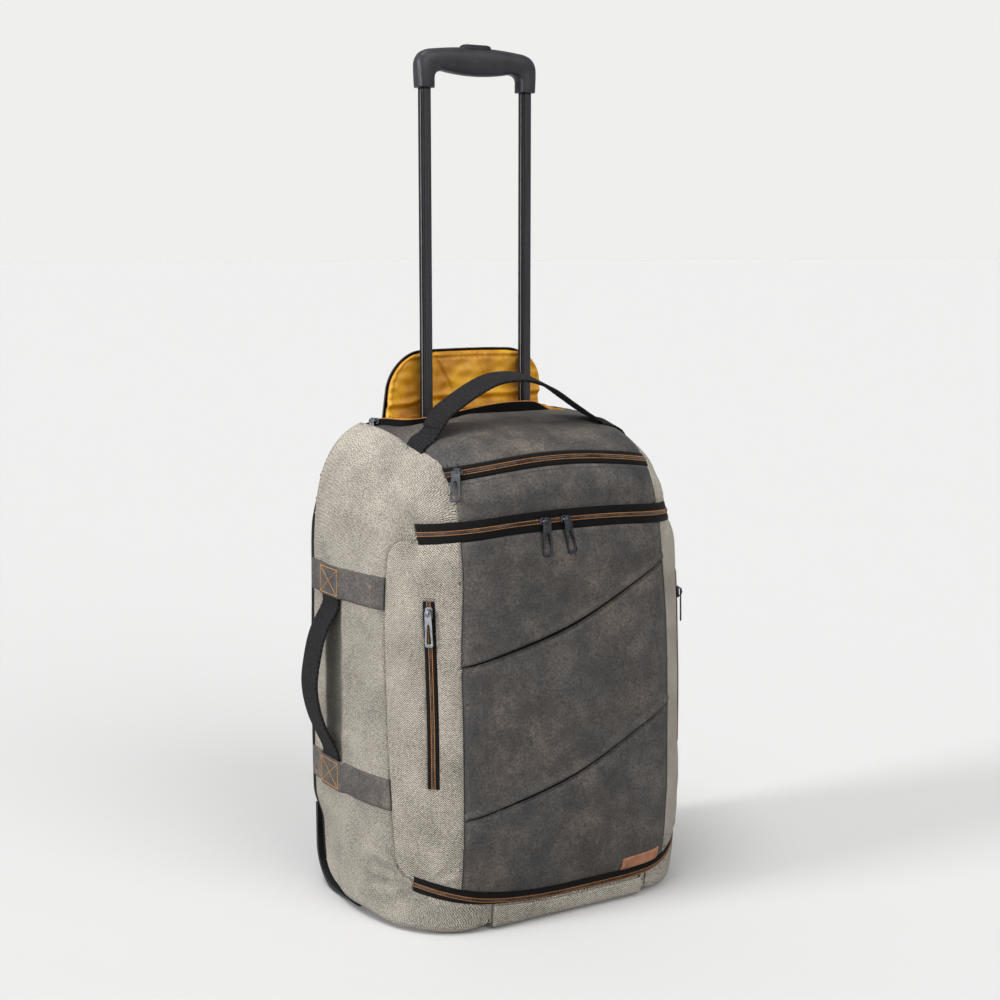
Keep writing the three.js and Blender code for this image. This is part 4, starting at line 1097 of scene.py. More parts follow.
def cut_front_zips(seam):
    """Both borders and both ends of the front zips' tapes, and the two slits."""
    for line, tape, half in ZIP_LINES:
        for sign in (-1, 1):
            across = lambda x, y, z: z - line(x) - sign * tape(x)
            seam(across, lambda x, y, z: (y < 0) & (np.abs(x) < half + CUT["zip_past"]))
        ends = lambda x, y, z: (y < 0) & (np.abs(z - line(x)) < tape(x) + CUT["zip_beside"])
        seam(lambda x, y, z: np.abs(x) - half, ends)
    front = lambda x, y, z: (y < CUT["slit_front"]) & (np.abs(x) < leather_edge(y, z) + 1)
    for line in (upper_slit, lower_slit):
        seam(lambda x, y, z: z - line(x), front)


def cut_side_zips(seam):
    half, low, high = SIDE_ZIP["tape"] / 2, SIDE_ZIP["low"], SIDE_ZIP["high"]
    past = CUT["side_past"]
    beside = lambda x, y, z: (y < CUT["side_front"]) & (z > low - past) & (z < high + past)
    for edge in (-half, half):
        seam(lambda x, y, z: np.abs(x) - side_zip_x(x) - edge, beside)
    reach = half + CUT["zip_beside"]
    near = lambda x, y, z: (y < CUT["side_front"]) & (np.abs(np.abs(x) - side_zip_x(x)) < reach)
    for height in (low, high):
        seam(lambda x, y, z: z - height, near)


def cut_base_and_pocket(seam):
    """The base panel's sides, the handle pocket and the openings for the wheels."""
    seam(lambda x, y, z: np.abs(x) - BASE_SEAM_X, lambda x, y, z: z < BASE_SEAM_Z)
    crown = lambda x, y, z: (z > CUT["crown"]) & (y > CUT["wheel_front"])
    seam(lambda x, y, z: pocket_level(x, y), crown, POCKET_LOOPS)
    corner = lambda x, y, z: (z < CUT["wheel_top"]) & (y > CUT["wheel_front"])
    for edge in (WHEEL["x"] - WELL["half"] - WELL["wall"], WHEEL["x"] + WELL["half"] + WELL["wall"]):
        seam(lambda x, y, z: np.abs(x) - edge, corner, WELL_LOOPS)
    seam(lambda x, y, z: well_level(y, z), corner, WELL_LOOPS)


def openings(x, y, z):
    """Whether a triangle lies under a zip, in a wheel's opening or in the handle pocket."""
    wide = np.abs(x)
    gone = (pocket_level(x, y) < 0) & (z > CUT["crown"])
    for line, tape, half in ZIP_LINES:
        gone |= (y < 0) & (wide < half) & (np.abs(z - line(x)) < tape(x))
    beside = np.abs(wide - WHEEL["x"]) < WELL["half"] + WELL["wall"]
    gone |= beside & (well_level(y, z) < 0) & (y > CUT["wheel_front"])
    slot = (np.abs(wide - side_zip_x(x)) < SIDE_ZIP["tape"] / 2) & (y < CUT["side_front"])
    return gone | (slot & (z > SIDE_ZIP["low"]) & (z < SIDE_ZIP["high"]))


def panel_masks(x, y, z):
    """Which triangle belongs to which panel, from its middle."""
    wide = np.abs(x)
    behind = y > back_seam(z)
    leather = wide < leather_edge(y, z)
    door = door_level(x, y, z) < 0
    shell = ~door & ~behind
    base = shell & (z < BASE_SEAM_Z) & (wide < BASE_SEAM_X)
    strip = shell & ~base & leather & (z > CUT["strip_low"])
    flank = shell & ~base & ~strip
    above = (z > top_line(x)) | (y > 0)
    masks = {
        "back_panel": behind,
        "base_panel": base,
        "top_panel": strip & above,
        "top_pocket_panel": strip & ~above,
        "side_panel_left": flank & (x < 0),
        "side_panel_right": flank & (x > 0),
        "door_margin_left": door & ~leather & (x < 0),
        "door_margin_right": door & ~leather & (x > 0),
        "front_panel_upper": door & leather & (z > upper_slit(x)),
        "front_panel_middle": door & leather & (z < upper_slit(x)) & (z > lower_slit(x)),
        "front_panel_lower": door & leather & (z < lower_slit(x)),
    }
    cloth = ~openings(x, y, z)
    return {name: mask & cloth for name, mask in masks.items()}


def panel_finish(name):
    """Material and slot of a panel."""
    if name == "back_panel":
        return BACK_CLOTH, "black_cloth"
    if name.startswith(("top", "front")):
        return DARK_LEATHER, "leather"
    return WEAVE, "weave"


def slit_mouth(x):
    """How far a slit gapes along its length: closed at its left end, still a little open at its right end."""
    share = np.clip((x + LEATHER["low"]) / (2 * LEATHER["low"]), 0, 1)
    return np.sin(np.pi * SLIT_LIP["gape"] * share) ** SLIT_LIP["round"]


def slit_lips(name, points):
    """A front panel's edge lifts over the slit below it; under the slit above it, it tucks in and drops."""
    x, _, z = points.T
    lift, drop = np.zeros((2, len(points)))
    over = {"front_panel_upper": upper_slit, "front_panel_middle": lower_slit}
    under = {"front_panel_middle": upper_slit, "front_panel_lower": lower_slit}
    if name in over:
        lift += (SEAM_SINK + SLIT_LIP["lift"]) * hump(z - over[name](x), SLIT_LIP["width"])
    if name in under:
        near = hump(under[name](x) - z, SLIT_LIP["width"])
        lift -= SLIT_LIP["tuck"] * slit_mouth(x) * near
        drop += (SLIT_LIP["drop"] + SLIT_LIP["gaping"] * slit_mouth(x)) * near
    return lift, drop


def ridge_lip(name, points):
    """The door's border stands proud of the side panel behind it."""
    away = np.abs(door_level(*points.T))
    if name.startswith("door_margin"):
        return (SEAM_SINK + DOOR_LIP["proud"]) * hump(away, SEAM_WIDTH)
    if name.startswith("side_panel"):
        return -DOOR_LIP["dip"] * hump(away, DOOR_LIP["width"])
    return np.zeros(len(points))


def pocket_slump(points):
    """How far the leather sinks towards the left end of the handle pocket."""
    x, y, _ = points.T
    return SLUMP["depth"] * fade(y, *SLUMP["rear"]) * fade(-x, *SLUMP["left"]) * fade(x, *SLUMP["end"])


def zip_pucker(points):
    """Small gathers that fan out from the sewn ends of the main and base zips."""
    x, y, z = points.T
    total = np.zeros(len(points))
    for row, line in ((MAIN_ZIP, main_line), (BASE_ZIP, base_line)):
        for _, sign in SIDES:
            run = x * sign - row["half"]
            rise = z - line(sign * row["half"])
            away = np.hypot(run, rise)
            turn = np.arctan2(rise, run + PUCKER["behind"]) * PUCKER["rays"] + away * PUCKER["twist"]
            total += np.sin(turn) * hump(away - PUCKER["ring"], PUCKER["width"])
    return total * (y < PUCKER["rear"])


def tucked(points):
    """The lower rear corners draw in beside the wheel guards."""
    x, y, z = points.T
    low = smoothstep((TUCK["top"] - z) / TUCK["fade"])
    pull = TUCK["depth"] * low * fade(y, TUCK["front"], TUCK["run"]) * fade(np.abs(x), *TUCK["side"])
    return points - np.stack([np.sign(x) * pull, 0 * pull, 0 * pull], 1)


def panel_points(name, part, normals):
    """A panel's points with its padding, sunk seams, creases and folds."""
    away = part.from_rim(PUFF_REACH)
    lift = PUFF * (smoothstep(away / PUFF_REACH) - PUFF_BASE) - SEAM_SINK * hump(away, SEAM_WIDTH)
    rumple = sum(size * ripple(part.points, wave, seed) for size, wave, seed in RUMPLES)
    lift += smoothstep(away / RUMPLE_RUN) * rumple
    lips, drop = slit_lips(name, part.points)
    lift += lips + ridge_lip(name, part.points)
    if panel_finish(name)[1] == "weave":
        lift += PUCKER["size"] * zip_pucker(part.points) * fade(away, *PUCKER["rim"])
    if name == "base_panel":
        lift -= BASE_RAISE
    if name == "back_panel":
        lift -= BACK_RIM["sink"] * hump(away, BACK_RIM["width"])
    if name == "top_panel":
        drop += pocket_slump(part.points)
    points = tucked(part.points + normals * lift[:, None])
    points[:, 2] = np.maximum(points[:, 2] - drop, FLOOR_GAP)
    return points


def lay_flat(piece, guide):
    """Cloth coordinates of a curved panel from unwrapping it, turned and sized to follow a rough guide."""
    bpy.ops.object.select_all(action="DESELECT")
    bpy.context.view_layer.objects.active = piece
    piece.select_set(True)
    bpy.ops.object.mode_set(mode="EDIT")
    bpy.ops.mesh.select_all(action="SELECT")
    bpy.ops.uv.unwrap(method="MINIMUM_STRETCH", iterations=8, margin=0.0)
    bpy.ops.object.mode_set(mode="OBJECT")
    piece.select_set(False)
    layer = piece.data.uv_layers["cloth"].data
    flat = np.empty(2 * len(layer), np.float32)
    layer.foreach_get("uv", flat)
    spot = flat[0::2] + 1j * flat[1::2]
    goal = ((guide[:, 0] + 1j * guide[:, 1]) * MM)[corner_points(piece.data)]
    fits = []
    for shape in (spot, spot.conj()):
        terms = np.stack([shape, np.ones(len(shape))], 1)
        answer = np.linalg.lstsq(terms, goal, rcond=None)[0]
        laid = terms @ answer
        fits.append((np.abs(laid - goal).mean(), laid))
    laid = min(fits, key=lambda fit: fit[0])[1]
    layer.foreach_set("uv", np.stack([laid.real, laid.imag], 1).astype(np.float32).ravel())


def add_panels():
    skin = cut_seams(Skin(BODY.points, BODY.uv, BODY.tris))
    normals = skin.normals()
    sewn = []
    for name, keep in panel_masks(*skin.points[skin.tris].mean(1).T).items():
        part, used = skin.part(keep)
        material, slot = panel_finish(name)
        points = panel_points(name, part, normals[used])
        piece = add_mesh(name + "_cloth", points, part.tris, material, slot, part.uv, replaces=[name])
        if name.startswith("side_panel"):
            lay_flat(piece, part.uv)
        thicken(piece, PANEL_WALL)
        sewn.append((points, part.tris))
    start = np.cumsum([0] + [len(points) for points, _ in sewn])
    tris = np.concatenate([part + first for (_, part), first in zip(sewn, start)])
    TREES["panels"] = BVHTree.FromPolygons(np.concatenate([p for p, _ in sewn]).tolist(), tris.tolist())


def add_slit_shadow_sheet():
    """A near-black sheet in the depth of the two front slits: painted shadow in their gaps."""
    end = LEATHER["low"] - SLIT_SHADOW_SHEET["gap"]
    x = np.linspace(-end, end, 100)
    wall = SLIT_SHADOW_SHEET["wall"]
    for word, line in (("upper", upper_slit), ("lower", lower_slit)):
        points, out = front_strip(x, [line(x) + offset for offset in SLIT_SHADOW_SHEET["rows"]])
        sunk = points - out * SLIT_SHADOW_SHEET["depth"]
        add_sheet(f"slit_shadow_sheet_{word}", sunk, (0, -1, 0), SLIT_SHADOW_BLACK, "black_cloth", wall)


# Zips, stitches and pulls

def front_normals(points):
    return facing(grid_normals(points), (0, -1, 0))


def front_strip(x, heights, sewn=False):
    """Points on the front at stations x for several rows of heights, with their outward normals."""
    points = np.stack([on_front(x, z, sewn) for z in heights], 1)
    return points, front_normals(points)


def capsule(length, width, height):
    """A small rounded stitch along x, as rings of points."""
    turn = full_turn(STITCH_SIDES)
    rows = []
    for at, size in STITCH_SHAPE:
        across = size * np.stack([np.cos(turn) * width, np.sin(turn) * height], 1) / 2
        rows.append(np.column_stack([np.full(STITCH_SIDES, at * length), across]))
    return np.array(rows)


def scatter(name, shape, places, material, slot, **more):
    """Copies of one capsule at (point, along, out) places, joined in one mesh."""
    faces = capped_faces(*shape.shape[:2])
    copies = []
    for point, along, out in places:
        along = unit(along)
        out = unit(out - along * (out @ along))
        copies.append((shape @ np.stack([along, np.cross(out, along), out]) + point, faces))
    points, faces = joined(copies)
    return add_mesh(name, points, faces, material, slot, **more)


def stitch_places(path, normals, pitch, lift):
    """Places at even steps along a path on a surface."""
    count = max(2, int(round(lengths_along(path)[-1] / pitch)))
    fine = resample(np.concatenate([path, normals], 1), STITCH_STEPS * count + 1)
    points, outs = fine[:, :3], unit(fine[:, 3:])
    middles = range(STITCH_STEPS // 2, STITCH_STEPS * count, STITCH_STEPS)
    near = STITCH_STEPS // 3
    return [(points[k] + outs[k] * lift, points[k + near] - points[k - near], outs[k]) for k in middles]


def add_stitches(name, rows, kind, material, slot, **more):
    """Rows of stitches along (path, normals) lines."""
    pitch, (share, width, height), lift = STITCHES[kind]
    places = [place for path, normals in rows for place in stitch_places(path, normals, pitch, lift)]
    return scatter(name, capsule(pitch * share, width, height), places, material, slot, **more)


def add_zip(name, surface, teeth_surface, stripe, tape_node, teeth_node):
    """A sunk tape with two copper stripes beside a dark coil.

    The surface gives points and normals at shares of the tape's half width, and the
    teeth's surface gives them at offsets in millimetres.
    """
    across = np.linspace(-TAPE_EDGE["past"], TAPE_EDGE["past"], 9)
    sink = TAPE_SINK + TAPE_EDGE["dip"] * np.maximum(0, np.abs(across) - TAPE_EDGE["from"])
    points, out = surface(across)
    tape = points - out * sink[None, :, None]
    add_sheet(name + "_tape_cloth", tape, (0, -1, 0), TAPE, "black_cloth", TAPE_EDGE["wall"],
              replaces=[tape_node])
    lanes, normals = teeth_surface(np.array([-stripe, 0.0, stripe]))
    stripes = [(lanes[:, k], normals[:, k]) for k in (0, 2)]
    add_stitches(name + "_stripes", stripes, "stripe", COPPER, "copper_teeth")
    coil = stitch_places(lanes[:, 1], normals[:, 1], TOOTH["pitch"], TOOTH["lift"] - TAPE_SINK)
    across_coil = [(point, np.cross(way, along), way) for point, along, way in coil]
    shape = capsule(TOOTH["length"] * stripe, TOOTH["pitch"] * TOOTH["width"], TOOTH["height"])
    scatter(name + "_coil", shape, across_coil, COIL, "copper_teeth", replaces=[teeth_node])


def front_zip_surface(line, half, size=lambda x: 1.0):
    x = np.linspace(-half, half, 150)
    return lambda offsets: front_strip(x, [line(x) + size(x) * offset for offset in offsets])


def side_zip_surface(middle, size=1.0):
    z = np.linspace(SIDE_ZIP["low"], SIDE_ZIP["high"], 90)

    def surface(offsets):
        points = np.stack([on_front(middle + size * offset, z) for offset in offsets], 1)
        return points, front_normals(points)
    return surface


def base_teeth_line(x):
    """The teeth of the base zip run from the middle of its tape at the left to near its lower edge."""
    return base_line(x) - BASE_ZIP["teeth_drop"] * fade(x, -BASE_ZIP["half"], BASE_ZIP["drop_run"])


def add_zips():
    names = ("main_zip", "top_zip", "base_zip")
    teeth_lines = (main_line, top_line, base_teeth_line)
    for name, (line, tape, half), teeth_line in zip(names, ZIP_LINES, teeth_lines):
        surface = front_zip_surface(line, half, tape)
        teeth = front_zip_surface(teeth_line, half)
        add_zip(name, surface, teeth, STRIPE["front"], name + "_tape", name + "_teeth")
    for word, sign in SIDES:
        middle = sign * SIDE_ZIP[word]
        surface = side_zip_surface(middle, SIDE_ZIP["tape"] / 2)
        nodes = (f"side_zip_tape_{word}", f"side_zip_teeth_{word}")
        add_zip(f"side_zip_{word}", surface, side_zip_surface(middle), STRIPE["side"], *nodes)


def add_seam_stitches():
    """Dark stitching along the leather's side seams and below the top zip, and a dark cord laid in the seams
    as painted seam shadow.
    """
    rows, shadow_cords = [], []
    for _, sign in SIDES:
        low = base_line(sign * LEATHER["low"]) + LEATHER_ROWS["foot"]
        z = np.linspace(low, main_line(LEATHER["high"]) - LEATHER_ROWS["head"], 120)
        edge = sign * leather_edge(FRONT_Y, z)
        lines = [on_front(edge - sign * inset, z, True) for inset in LEATHER_ROWS["insets"]]
        points = np.stack(lines, 1)
        out = front_normals(points)
        rows.append((points[:, 1], out[:, 1]))
        # The innermost row carries the dark cord that paints the seam's shadow.
        shadow_cords.append((points[:, 3], out[:, 1]))
    end = LEATHER["high"] - LEATHER_ROWS["end"]
    x = np.linspace(-end, end, 120)
    middle = top_line(x) - TOP_ZIP["tape"] / 2 - LEATHER_ROWS["below_zip"]
    points, out = front_strip(x, [middle + offset for offset in (-1, 0, 1)], True)
    rows.append((points[:, 1], out[:, 1]))
    add_stitches("leather_stitches", rows, "leather", DARK_THREAD, "leather")
    add_stitches("leather_seam_shadow_cord", shadow_cords, "seam_shadow_cord", DARK_THREAD, "leather")


def prism(loop, levels):
    """A closed solid from one outline at several heights, each drawn in by an inset."""
    rows = np.array([raised(drawn_in(loop, inset), z) for z, inset in levels])
    return rows, capped_faces(*rows.shape[:2])


def plate_with_slot(outer, inner, thickness, edge=0.35):
    """A flat plate with one slot: the wall between two loops, its edges rounded."""
    half = thickness / 2
    way = unit(inner - outer)
    rows = []
    for loop, sign in ((outer, 1), (inner, -1)):
        profile = ((edge, -half), (0, edge - half), (0, half - edge), (edge, half))
        for inset, z in profile[::sign]:
            rows.append(raised(loop + sign * way * inset, z))
    rows = np.array(rows)
    return rows, grid_faces(*rows.shape[:2], True, True)


def pull_shapes(length, width):
    """A slotted pull below its eye, in its own frame: across, up and out of the surface."""
    half, inside = width / 2, width / 2 - PULL["border"]
    foot, head = PULL["foot"] - length, -PULL["slot_top"] * length
    run = PULL["run"] * length
    outer = rounded_loop(half, -length, PULL["head"], width * PULL["corner"])
    inner = rounded_loop(inside, foot, head, inside - PULL["slot_gap"])
    narrow, rest = PULL["waist"]
    outer[:, 0] *= narrow + rest * smoothstep(-outer[:, 1] / run)
    narrow, rest = PULL["slot_waist"]
    inner[:, 0] *= narrow + rest * smoothstep((-inner[:, 1] - PULL["corner"] * length) / run)
    plate, faces = plate_with_slot(outer, inner, PULL["thick"])
    plate[..., 2] += PULL["rise"] + PULL["hang"] * plate[..., 1]
    turn = full_turn(24)
    circle = np.stack([np.cos(turn), np.sin(turn)], 1)
    eye, eye_faces = plate_with_slot(circle * EYE["outer"], circle * EYE["hole"], EYE["thick"], EYE["edge"])
    return [(plate, faces), (eye + [0, EYE["up"], EYE["out"]], eye_faces)]


def slider_shapes():
    """A zip slider with its bridge, in its own frame: across the zip, along it and out of it."""
    loop = rounded_loop(SLIDER["half"], -SLIDER["reach"], SLIDER["reach"], SLIDER["corner"])
    turn = np.linspace(0, np.pi, 13)
    along, out = SLIDER["bridge"] * np.cos(turn), SLIDER["foot"] + SLIDER["rise"] * np.sin(turn)
    path = np.stack([0 * turn, along, out], 1)
    bridge = tube_rings(path, (1, 0, 0), SLIDER["wide"], SLIDER["thick"], 10)
    return [prism(loop, SLIDER_LEVELS), (bridge, capped_faces(*bridge.shape[:2]))]


def own_frame(out, up):
    """Rows that turn a shape's across, up and out into the bag's directions."""
    out = unit(np.asarray(out, float))
    up = unit(up - out * (up @ out))
    return np.stack([np.cross(up, out), up, out])


def placed(shapes, rows, point):
    return [(local.reshape(-1, 3) @ rows + point, faces) for local, faces in shapes]


def add_pull(name, node, point, tip, along, out, length, width, material):
    """A slider that runs along its zip, and the pull that hangs from it towards a tip."""
    shapes = placed(slider_shapes(), own_frame(out, along), point)
    shapes += placed(pull_shapes(length, width), own_frame(out, point - tip), point)
    points, faces = joined(shapes)
    piece = add_mesh(name, points, faces, material, "gun_metal", replaces=[node] if node else ())
    return soften(piece, METAL_EDGE)


def add_pulls():
    level, upright = np.array([1.0, 0.0, 0.0]), np.array([0.0, 0.0, 1.0])
    high = SIDE_ZIP["high"]
    rows = (
        ("main_zip_pull_left", -31.0, main_line(-31.0), 0.0, level, 38, 12, DARK_METAL),
        ("main_zip_pull_right", -5.0, main_line(-5.0), 0.14, level, 38, 12, DARK_METAL),
        ("top_zip_pull", -121.0, top_line(-121.0), -0.22, level, 36, 11.5, DARK_METAL),
        ("side_zip_pull_left", -SIDE_ZIP["left"], high - 12, 0.0, upright, 36, 9, GUNMETAL),
        ("side_zip_pull_right", SIDE_ZIP["right"], high - 26, 0.0, upright, 34, 9, DARK_METAL),
    )
    for name, x, z, lean, along, length, width, material in rows:
        near, outs = front_strip(np.array([x - 3, x, x + 3]), [np.full(3, z + k) for k in (-3, 0, 3)])
        out = outs[1, 1]
        point = near[1, 1] - out * SLIDER["sunk"]
        tip = on_front(x + lean * length, z - length, True)
        add_pull(name + "_metal", name, point, tip, along, out, length, width, material)


# Handle pocket and the flap that is thrown back

def lip_wave(x):
    """Height of the soft front lip of the pocket."""
    turn = (x - POCKET_LIP["crest"]) / POCKET["half"] * POCKET_LIP["turn"]
    return POCKET_LIP["z"] + POCKET_LIP["wave"] * np.cos(turn)


def pocket_loop(grow):
    """The pocket's outline seen from above, grown outwards."""
    half, corner = POCKET["half"] + grow, POCKET["corner"]
    return rounded_loop(half, POCKET["front"] - grow, POCKET["rear"] + grow, corner, 10)


def pocket_front(grow, count):
    """Round the pocket seen from above: from behind its left side, along its front, to its right corner."""
    loop = pocket_loop(grow)
    tail = (-POCKET["half"] - POCKET_TAPE["tail"], POCKET["rear"] - POCKET_TAPE["tail_front"])
    return resample(np.concatenate([[tail], loop[31:], loop[:4] - [POCKET_TAPE["corner_in"], 0]]), count)


def add_handle_pocket():
    """The satin pocket: its floor, its slack wall and a short lap over its rear edge."""
    loop = even_loop(pocket_loop(-POCKET_CLOTH["gap"]), 180)
    middle = np.array([0, (POCKET["front"] + POCKET["rear"]) / 2])
    floor, lip = POCKET["floor"] + POCKET_CLOTH["over"], POCKET["lip"] + POCKET_CLOTH["over"]
    rows = [raised(loop + (middle - loop) * k, floor) for k in POCKET_CLOTH["floor"]]
    start, run = POCKET_CLOTH["front"]
    ahead = smoothstep((POCKET["front"] + start - loop[:, 1]) / run)
    puff = ahead * sum(size * hump(loop[:, 0] - x, width) for size, x, width in POCKET_PUFFS)
    for share in np.linspace(0, 1, 14):
        wall = np.column_stack([loop, floor + (lip + puff - floor) * share])
        folds = ripple(wall * [1, 1, POCKET_CLOTH["tall"]], POCKET_CLOTH["wave"], 3)
        slack = POCKET_CLOTH["slack"] + POCKET_CLOTH["fold"] * folds
        wall[:, :2] += unit(middle - loop) * slack[:, None]
        rows.append(wall)
    start, run = POCKET_CLOTH["rear"]
    rear = smoothstep((loop[:, 1] - POCKET["rear"] + start) / run)
    for _ in range(2):
        rows.append(rows[-1] + rear[:, None] * POCKET_CLOTH["lap"])
    grid = np.array(rows)
    faces = grid_faces(*grid.shape[:2], wrap_cols=True)
    piece = add_mesh("handle_pocket_satin", grid, faces, SATIN, "lining", grid_lengths(grid),
                     replaces=["handle_pocket_lining"])
    thicken(piece, POCKET_CLOTH["wall"])
    add_pocket_zip()


def add_pocket_zip():
    """The half of the pocket's zip that stands along its front lip, sinking to the leather at its ends."""
    run = pocket_front(POCKET_TAPE["grow"], 170)
    along = lengths_along(run)
    ends = smoothstep(np.minimum(along / POCKET_TAPE["left"], (along[-1] - along) / POCKET_TAPE["right"]))
    foot = POCKET_TAPE["foot"] + POCKET_TAPE["rise"] * ends
    crest = between(POCKET_TAPE["end"], lip_wave(run[:, 0]), ends)
    tape = np.stack([np.column_stack([run, between(foot, crest, k)]) for k in np.linspace(0, 1, 8)], 1)
    add_sheet("pocket_zip_tape_cloth", tape, (0, -1, 0), TAPE, "black_cloth", POCKET_TAPE["wall"],
              replaces=["pocket_zip_tape"])
    crown = np.column_stack([run, crest])
    up = np.tile([0.0, 0.0, 1.0], (len(crown), 1))
    add_stitches("pocket_zip_coil", [(crown, up)], "pocket_coil", COPPER, "copper_teeth",
                 replaces=["pocket_zip_teeth"])
    down, tip, out, length, width = POCKET_SLIDER.values()
    start, ahead = crown[2] + down, crown[8] - crown[2]
    add_pull("pocket_zip_slider", None, start, start + tip, ahead, out, length, width, DARK_METAL)


def flap_points(u, v, inset):
    """Points over the flap for u across it and v up it, drawn in from its outline."""
    half, top, corner = FLAP["half"] - inset, FLAP["top"] - inset, FLAP["corner"] - inset
    side = 2 * u - 1
    foot = on_top(FLAP["middle"] + side * FLAP["half"], FLAP["y"] - FLAP["ahead"])[..., 2] + FLAP["over"]
    foot = foot - FLAP["drop"] * fade(-side, *FLAP["drop_run"])
    z = between(foot, top, v)
    over = np.maximum(0, z - (top - corner))
    x = side * (half - corner + np.sqrt(np.maximum(0, corner**2 - over**2)))
    curl = FLAP["curl"] * np.abs(x / FLAP["half"]) ** 3 * v
    return np.stack([FLAP["middle"] + x - flare(x, v), FLAP["y"] - curl, z + crowned(x, v)], -1)


def flare(x, v):
    """The left side of the flap spreads towards its foot."""
    return FLAP["flare"] * (1 - v) * fade(-x, *FLAP["flare_run"])


def crowned(x, v):
    """The flap's top edge bows up in the middle."""
    return FLAP["crown"] * (1 - (x / FLAP["half"]) ** 2) * v


def lining_relief(lining, u, v):
    """How far the satin stands forward: its padding inside the border, then its gathers, hem and folds."""
    from_side = np.minimum(u, 1 - u) * 2 * FLAP["half"]
    from_top = (1 - v) * (FLAP["top"] - REAR_TOP)
    edge = np.minimum(from_side, from_top)
    x, _, z = np.moveaxis(lining, -1, 0)
    along = np.where(from_side < from_top, z, x)
    waves = np.sin(along / LINING["pitch"] * 2 * np.pi + 3 * np.sin(along / LINING["uneven"]))
    gather = LINING["gather"] * waves * hump(edge - LINING["gather_at"], LINING["gather_width"])
    soft = sum(size * ripple(lining * shape, wave, seed) for size, shape, wave, seed in LINING_RUMPLES)
    slant = x - LINING_CREASE["x"] - (LINING_CREASE["z"] - z) * LINING_CREASE["lean"]
    crease = hump(slant, LINING_CREASE["width"])
    hem = sum(size * hump(edge - at, width) for size, at, width in LINING_HEM)
    fold = LINING["foot"] * (1 - v) ** 6
    for size, at, width in LINING_FOLDS:
        fold = fold + size * hump((v - at) / width, 1)
    pad = LINING["gap"] + LINING["pad"] * smoothstep(edge / LINING["pad_run"])
    pad = pad + soft * smoothstep(edge / LINING["soft_run"])
    return pad, gather + hem - LINING_CREASE["depth"] * crease + fold


def add_flap():
    u, v = np.meshgrid(np.linspace(0, 1, 110), np.linspace(0, 1, 60), indexing="ij")
    plain = flap_points(u, v, 0.0)
    outer = plain + [0, FLAP["behind"], 0]
    outer[..., 2] -= FLAP["foot"] * (1 - v) ** 3
    back = add_sheet("flap_outer_cloth", outer, (0, 1, 0), BACK_CLOTH, "black_cloth", FLAP["wall"],
                     replaces=["flap_outer"])

    border = -LINING["border"] - LINING["wider"] * fade(plain[..., 0], *LINING["widen"])
    lining = flap_points(u, v, border)
    for relief in lining_relief(lining, u, v):
        lining[..., 1] -= relief
    satin = add_sheet("flap_lining_satin", lining, (0, -1, 0), SATIN, "lining", LINING["wall"],
                      replaces=["flap_lining"])
    add_flap_tape()


def flap_rim(out, count):
    """Points at a distance outside the flap: up its left side, over the top and down its right side."""
    corner = FLAP["corner"]
    straight = FLAP["half"] - corner
    foot = on_top(FLAP["half"], FLAP["y"] - FLAP["ahead"])[2] - FLAP["foot"]
    rise = FLAP["top"] - corner - foot
    bend = corner * math.pi / 2
    half = rise + bend + straight
    along = np.linspace(0, 2 * half, count)
    side = np.where(along < half, -1, 1)
    run = np.minimum(along, 2 * half - along)
    turn = np.clip((run - rise) / corner, 0, np.pi / 2)
    radius = corner + out
    x = side * (straight + radius * np.cos(turn) - np.maximum(0, run - rise - bend))
    z = foot + np.minimum(run, rise) + radius * np.sin(turn)
    share = np.clip((z - foot) / (FLAP["top"] - foot), 0, 1)
    curl = FLAP["curl"] * np.minimum(FLAP["most_curl"], np.abs(x / FLAP["half"])) ** 3 * share
    return np.stack([FLAP["middle"] + x - flare(x, share), FLAP["y"] - curl, z + crowned(x, share)], 1)


def add_flap_tape():
    steps = np.linspace(FLAP_TAPE["in"], FLAP_TAPE["out"], 6)
    rows = np.stack([flap_rim(out, 200) for out in steps], 1) + [0, FLAP_TAPE["behind"], 0]
    add_sheet("flap_zip_tape_cloth", rows, (0, -1, 0), TAPE, "black_cloth", FLAP_TAPE["wall"],
              replaces=["flap_zip_tape"])
    crown = flap_rim(FLAP_TAPE["out"], 200)
    normal = np.tile([0.0, -1.0, 0.0], (len(crown), 1))
    add_stitches("flap_zip_coil", [(crown, normal)], "flap_coil", COIL, "black_cloth")


# Telescopic handle

def pole_outline():
    """A rounded tube outline with a shallow channel down both of its sides."""
    half, deep, soft = POLE["wide"] / 2, POLE["deep"] / 2, POLE["soft"]
    loop = even_loop(rounded_loop(half, -deep, deep, POLE["corner"], 9), 140)
    beside = np.abs(loop[:, 0]) > half - soft
    depth = POLE["groove"] * smoothstep((POLE["channel"] - np.abs(loop[:, 1])) / soft) * beside
    return loop - np.stack([np.sign(loop[:, 0]) * depth, 0 * depth], 1)


def add_poles():
    """Both poles, with channels down their sides painted black, partly as their dark finish and partly as
    painted shade, and one bright painted highlight line in each channel.
    """
    loop = pole_outline()
    for word, sign in SIDES:
        spot = loop + [sign * POLE["x"], POLE["y"]]
        rings = np.array([raised(spot, z) for z in np.linspace(POLE["foot"], POLE["head"], 30)])
        more = {"body": "handle", "replaces": [f"pole_{word}"]}
        piece = add_tube(f"pole_{word}_tube", rings, GREY_TUBE, "black_metal", **more)
        piece.data.materials.append(BLACK_TUBE)
        piece.data.materials.append(POLE_HIGHLIGHT_TUBE)
        for face in piece.data.polygons:
            x = face.center.x / MM - SHIFT[0] - sign * POLE["x"]
            y = face.center.y / MM - SHIFT[1] - POLE["y"]
            # Side faces are painted black, partly as finish and partly as painted shade; the thin line in the
            # middle of each is a painted highlight.
            if abs(x) > POLE["wide"] / 2 - POLE["side"]:
                face.material_index = 2 if abs(y) < POLE["highlight_half"] else 1


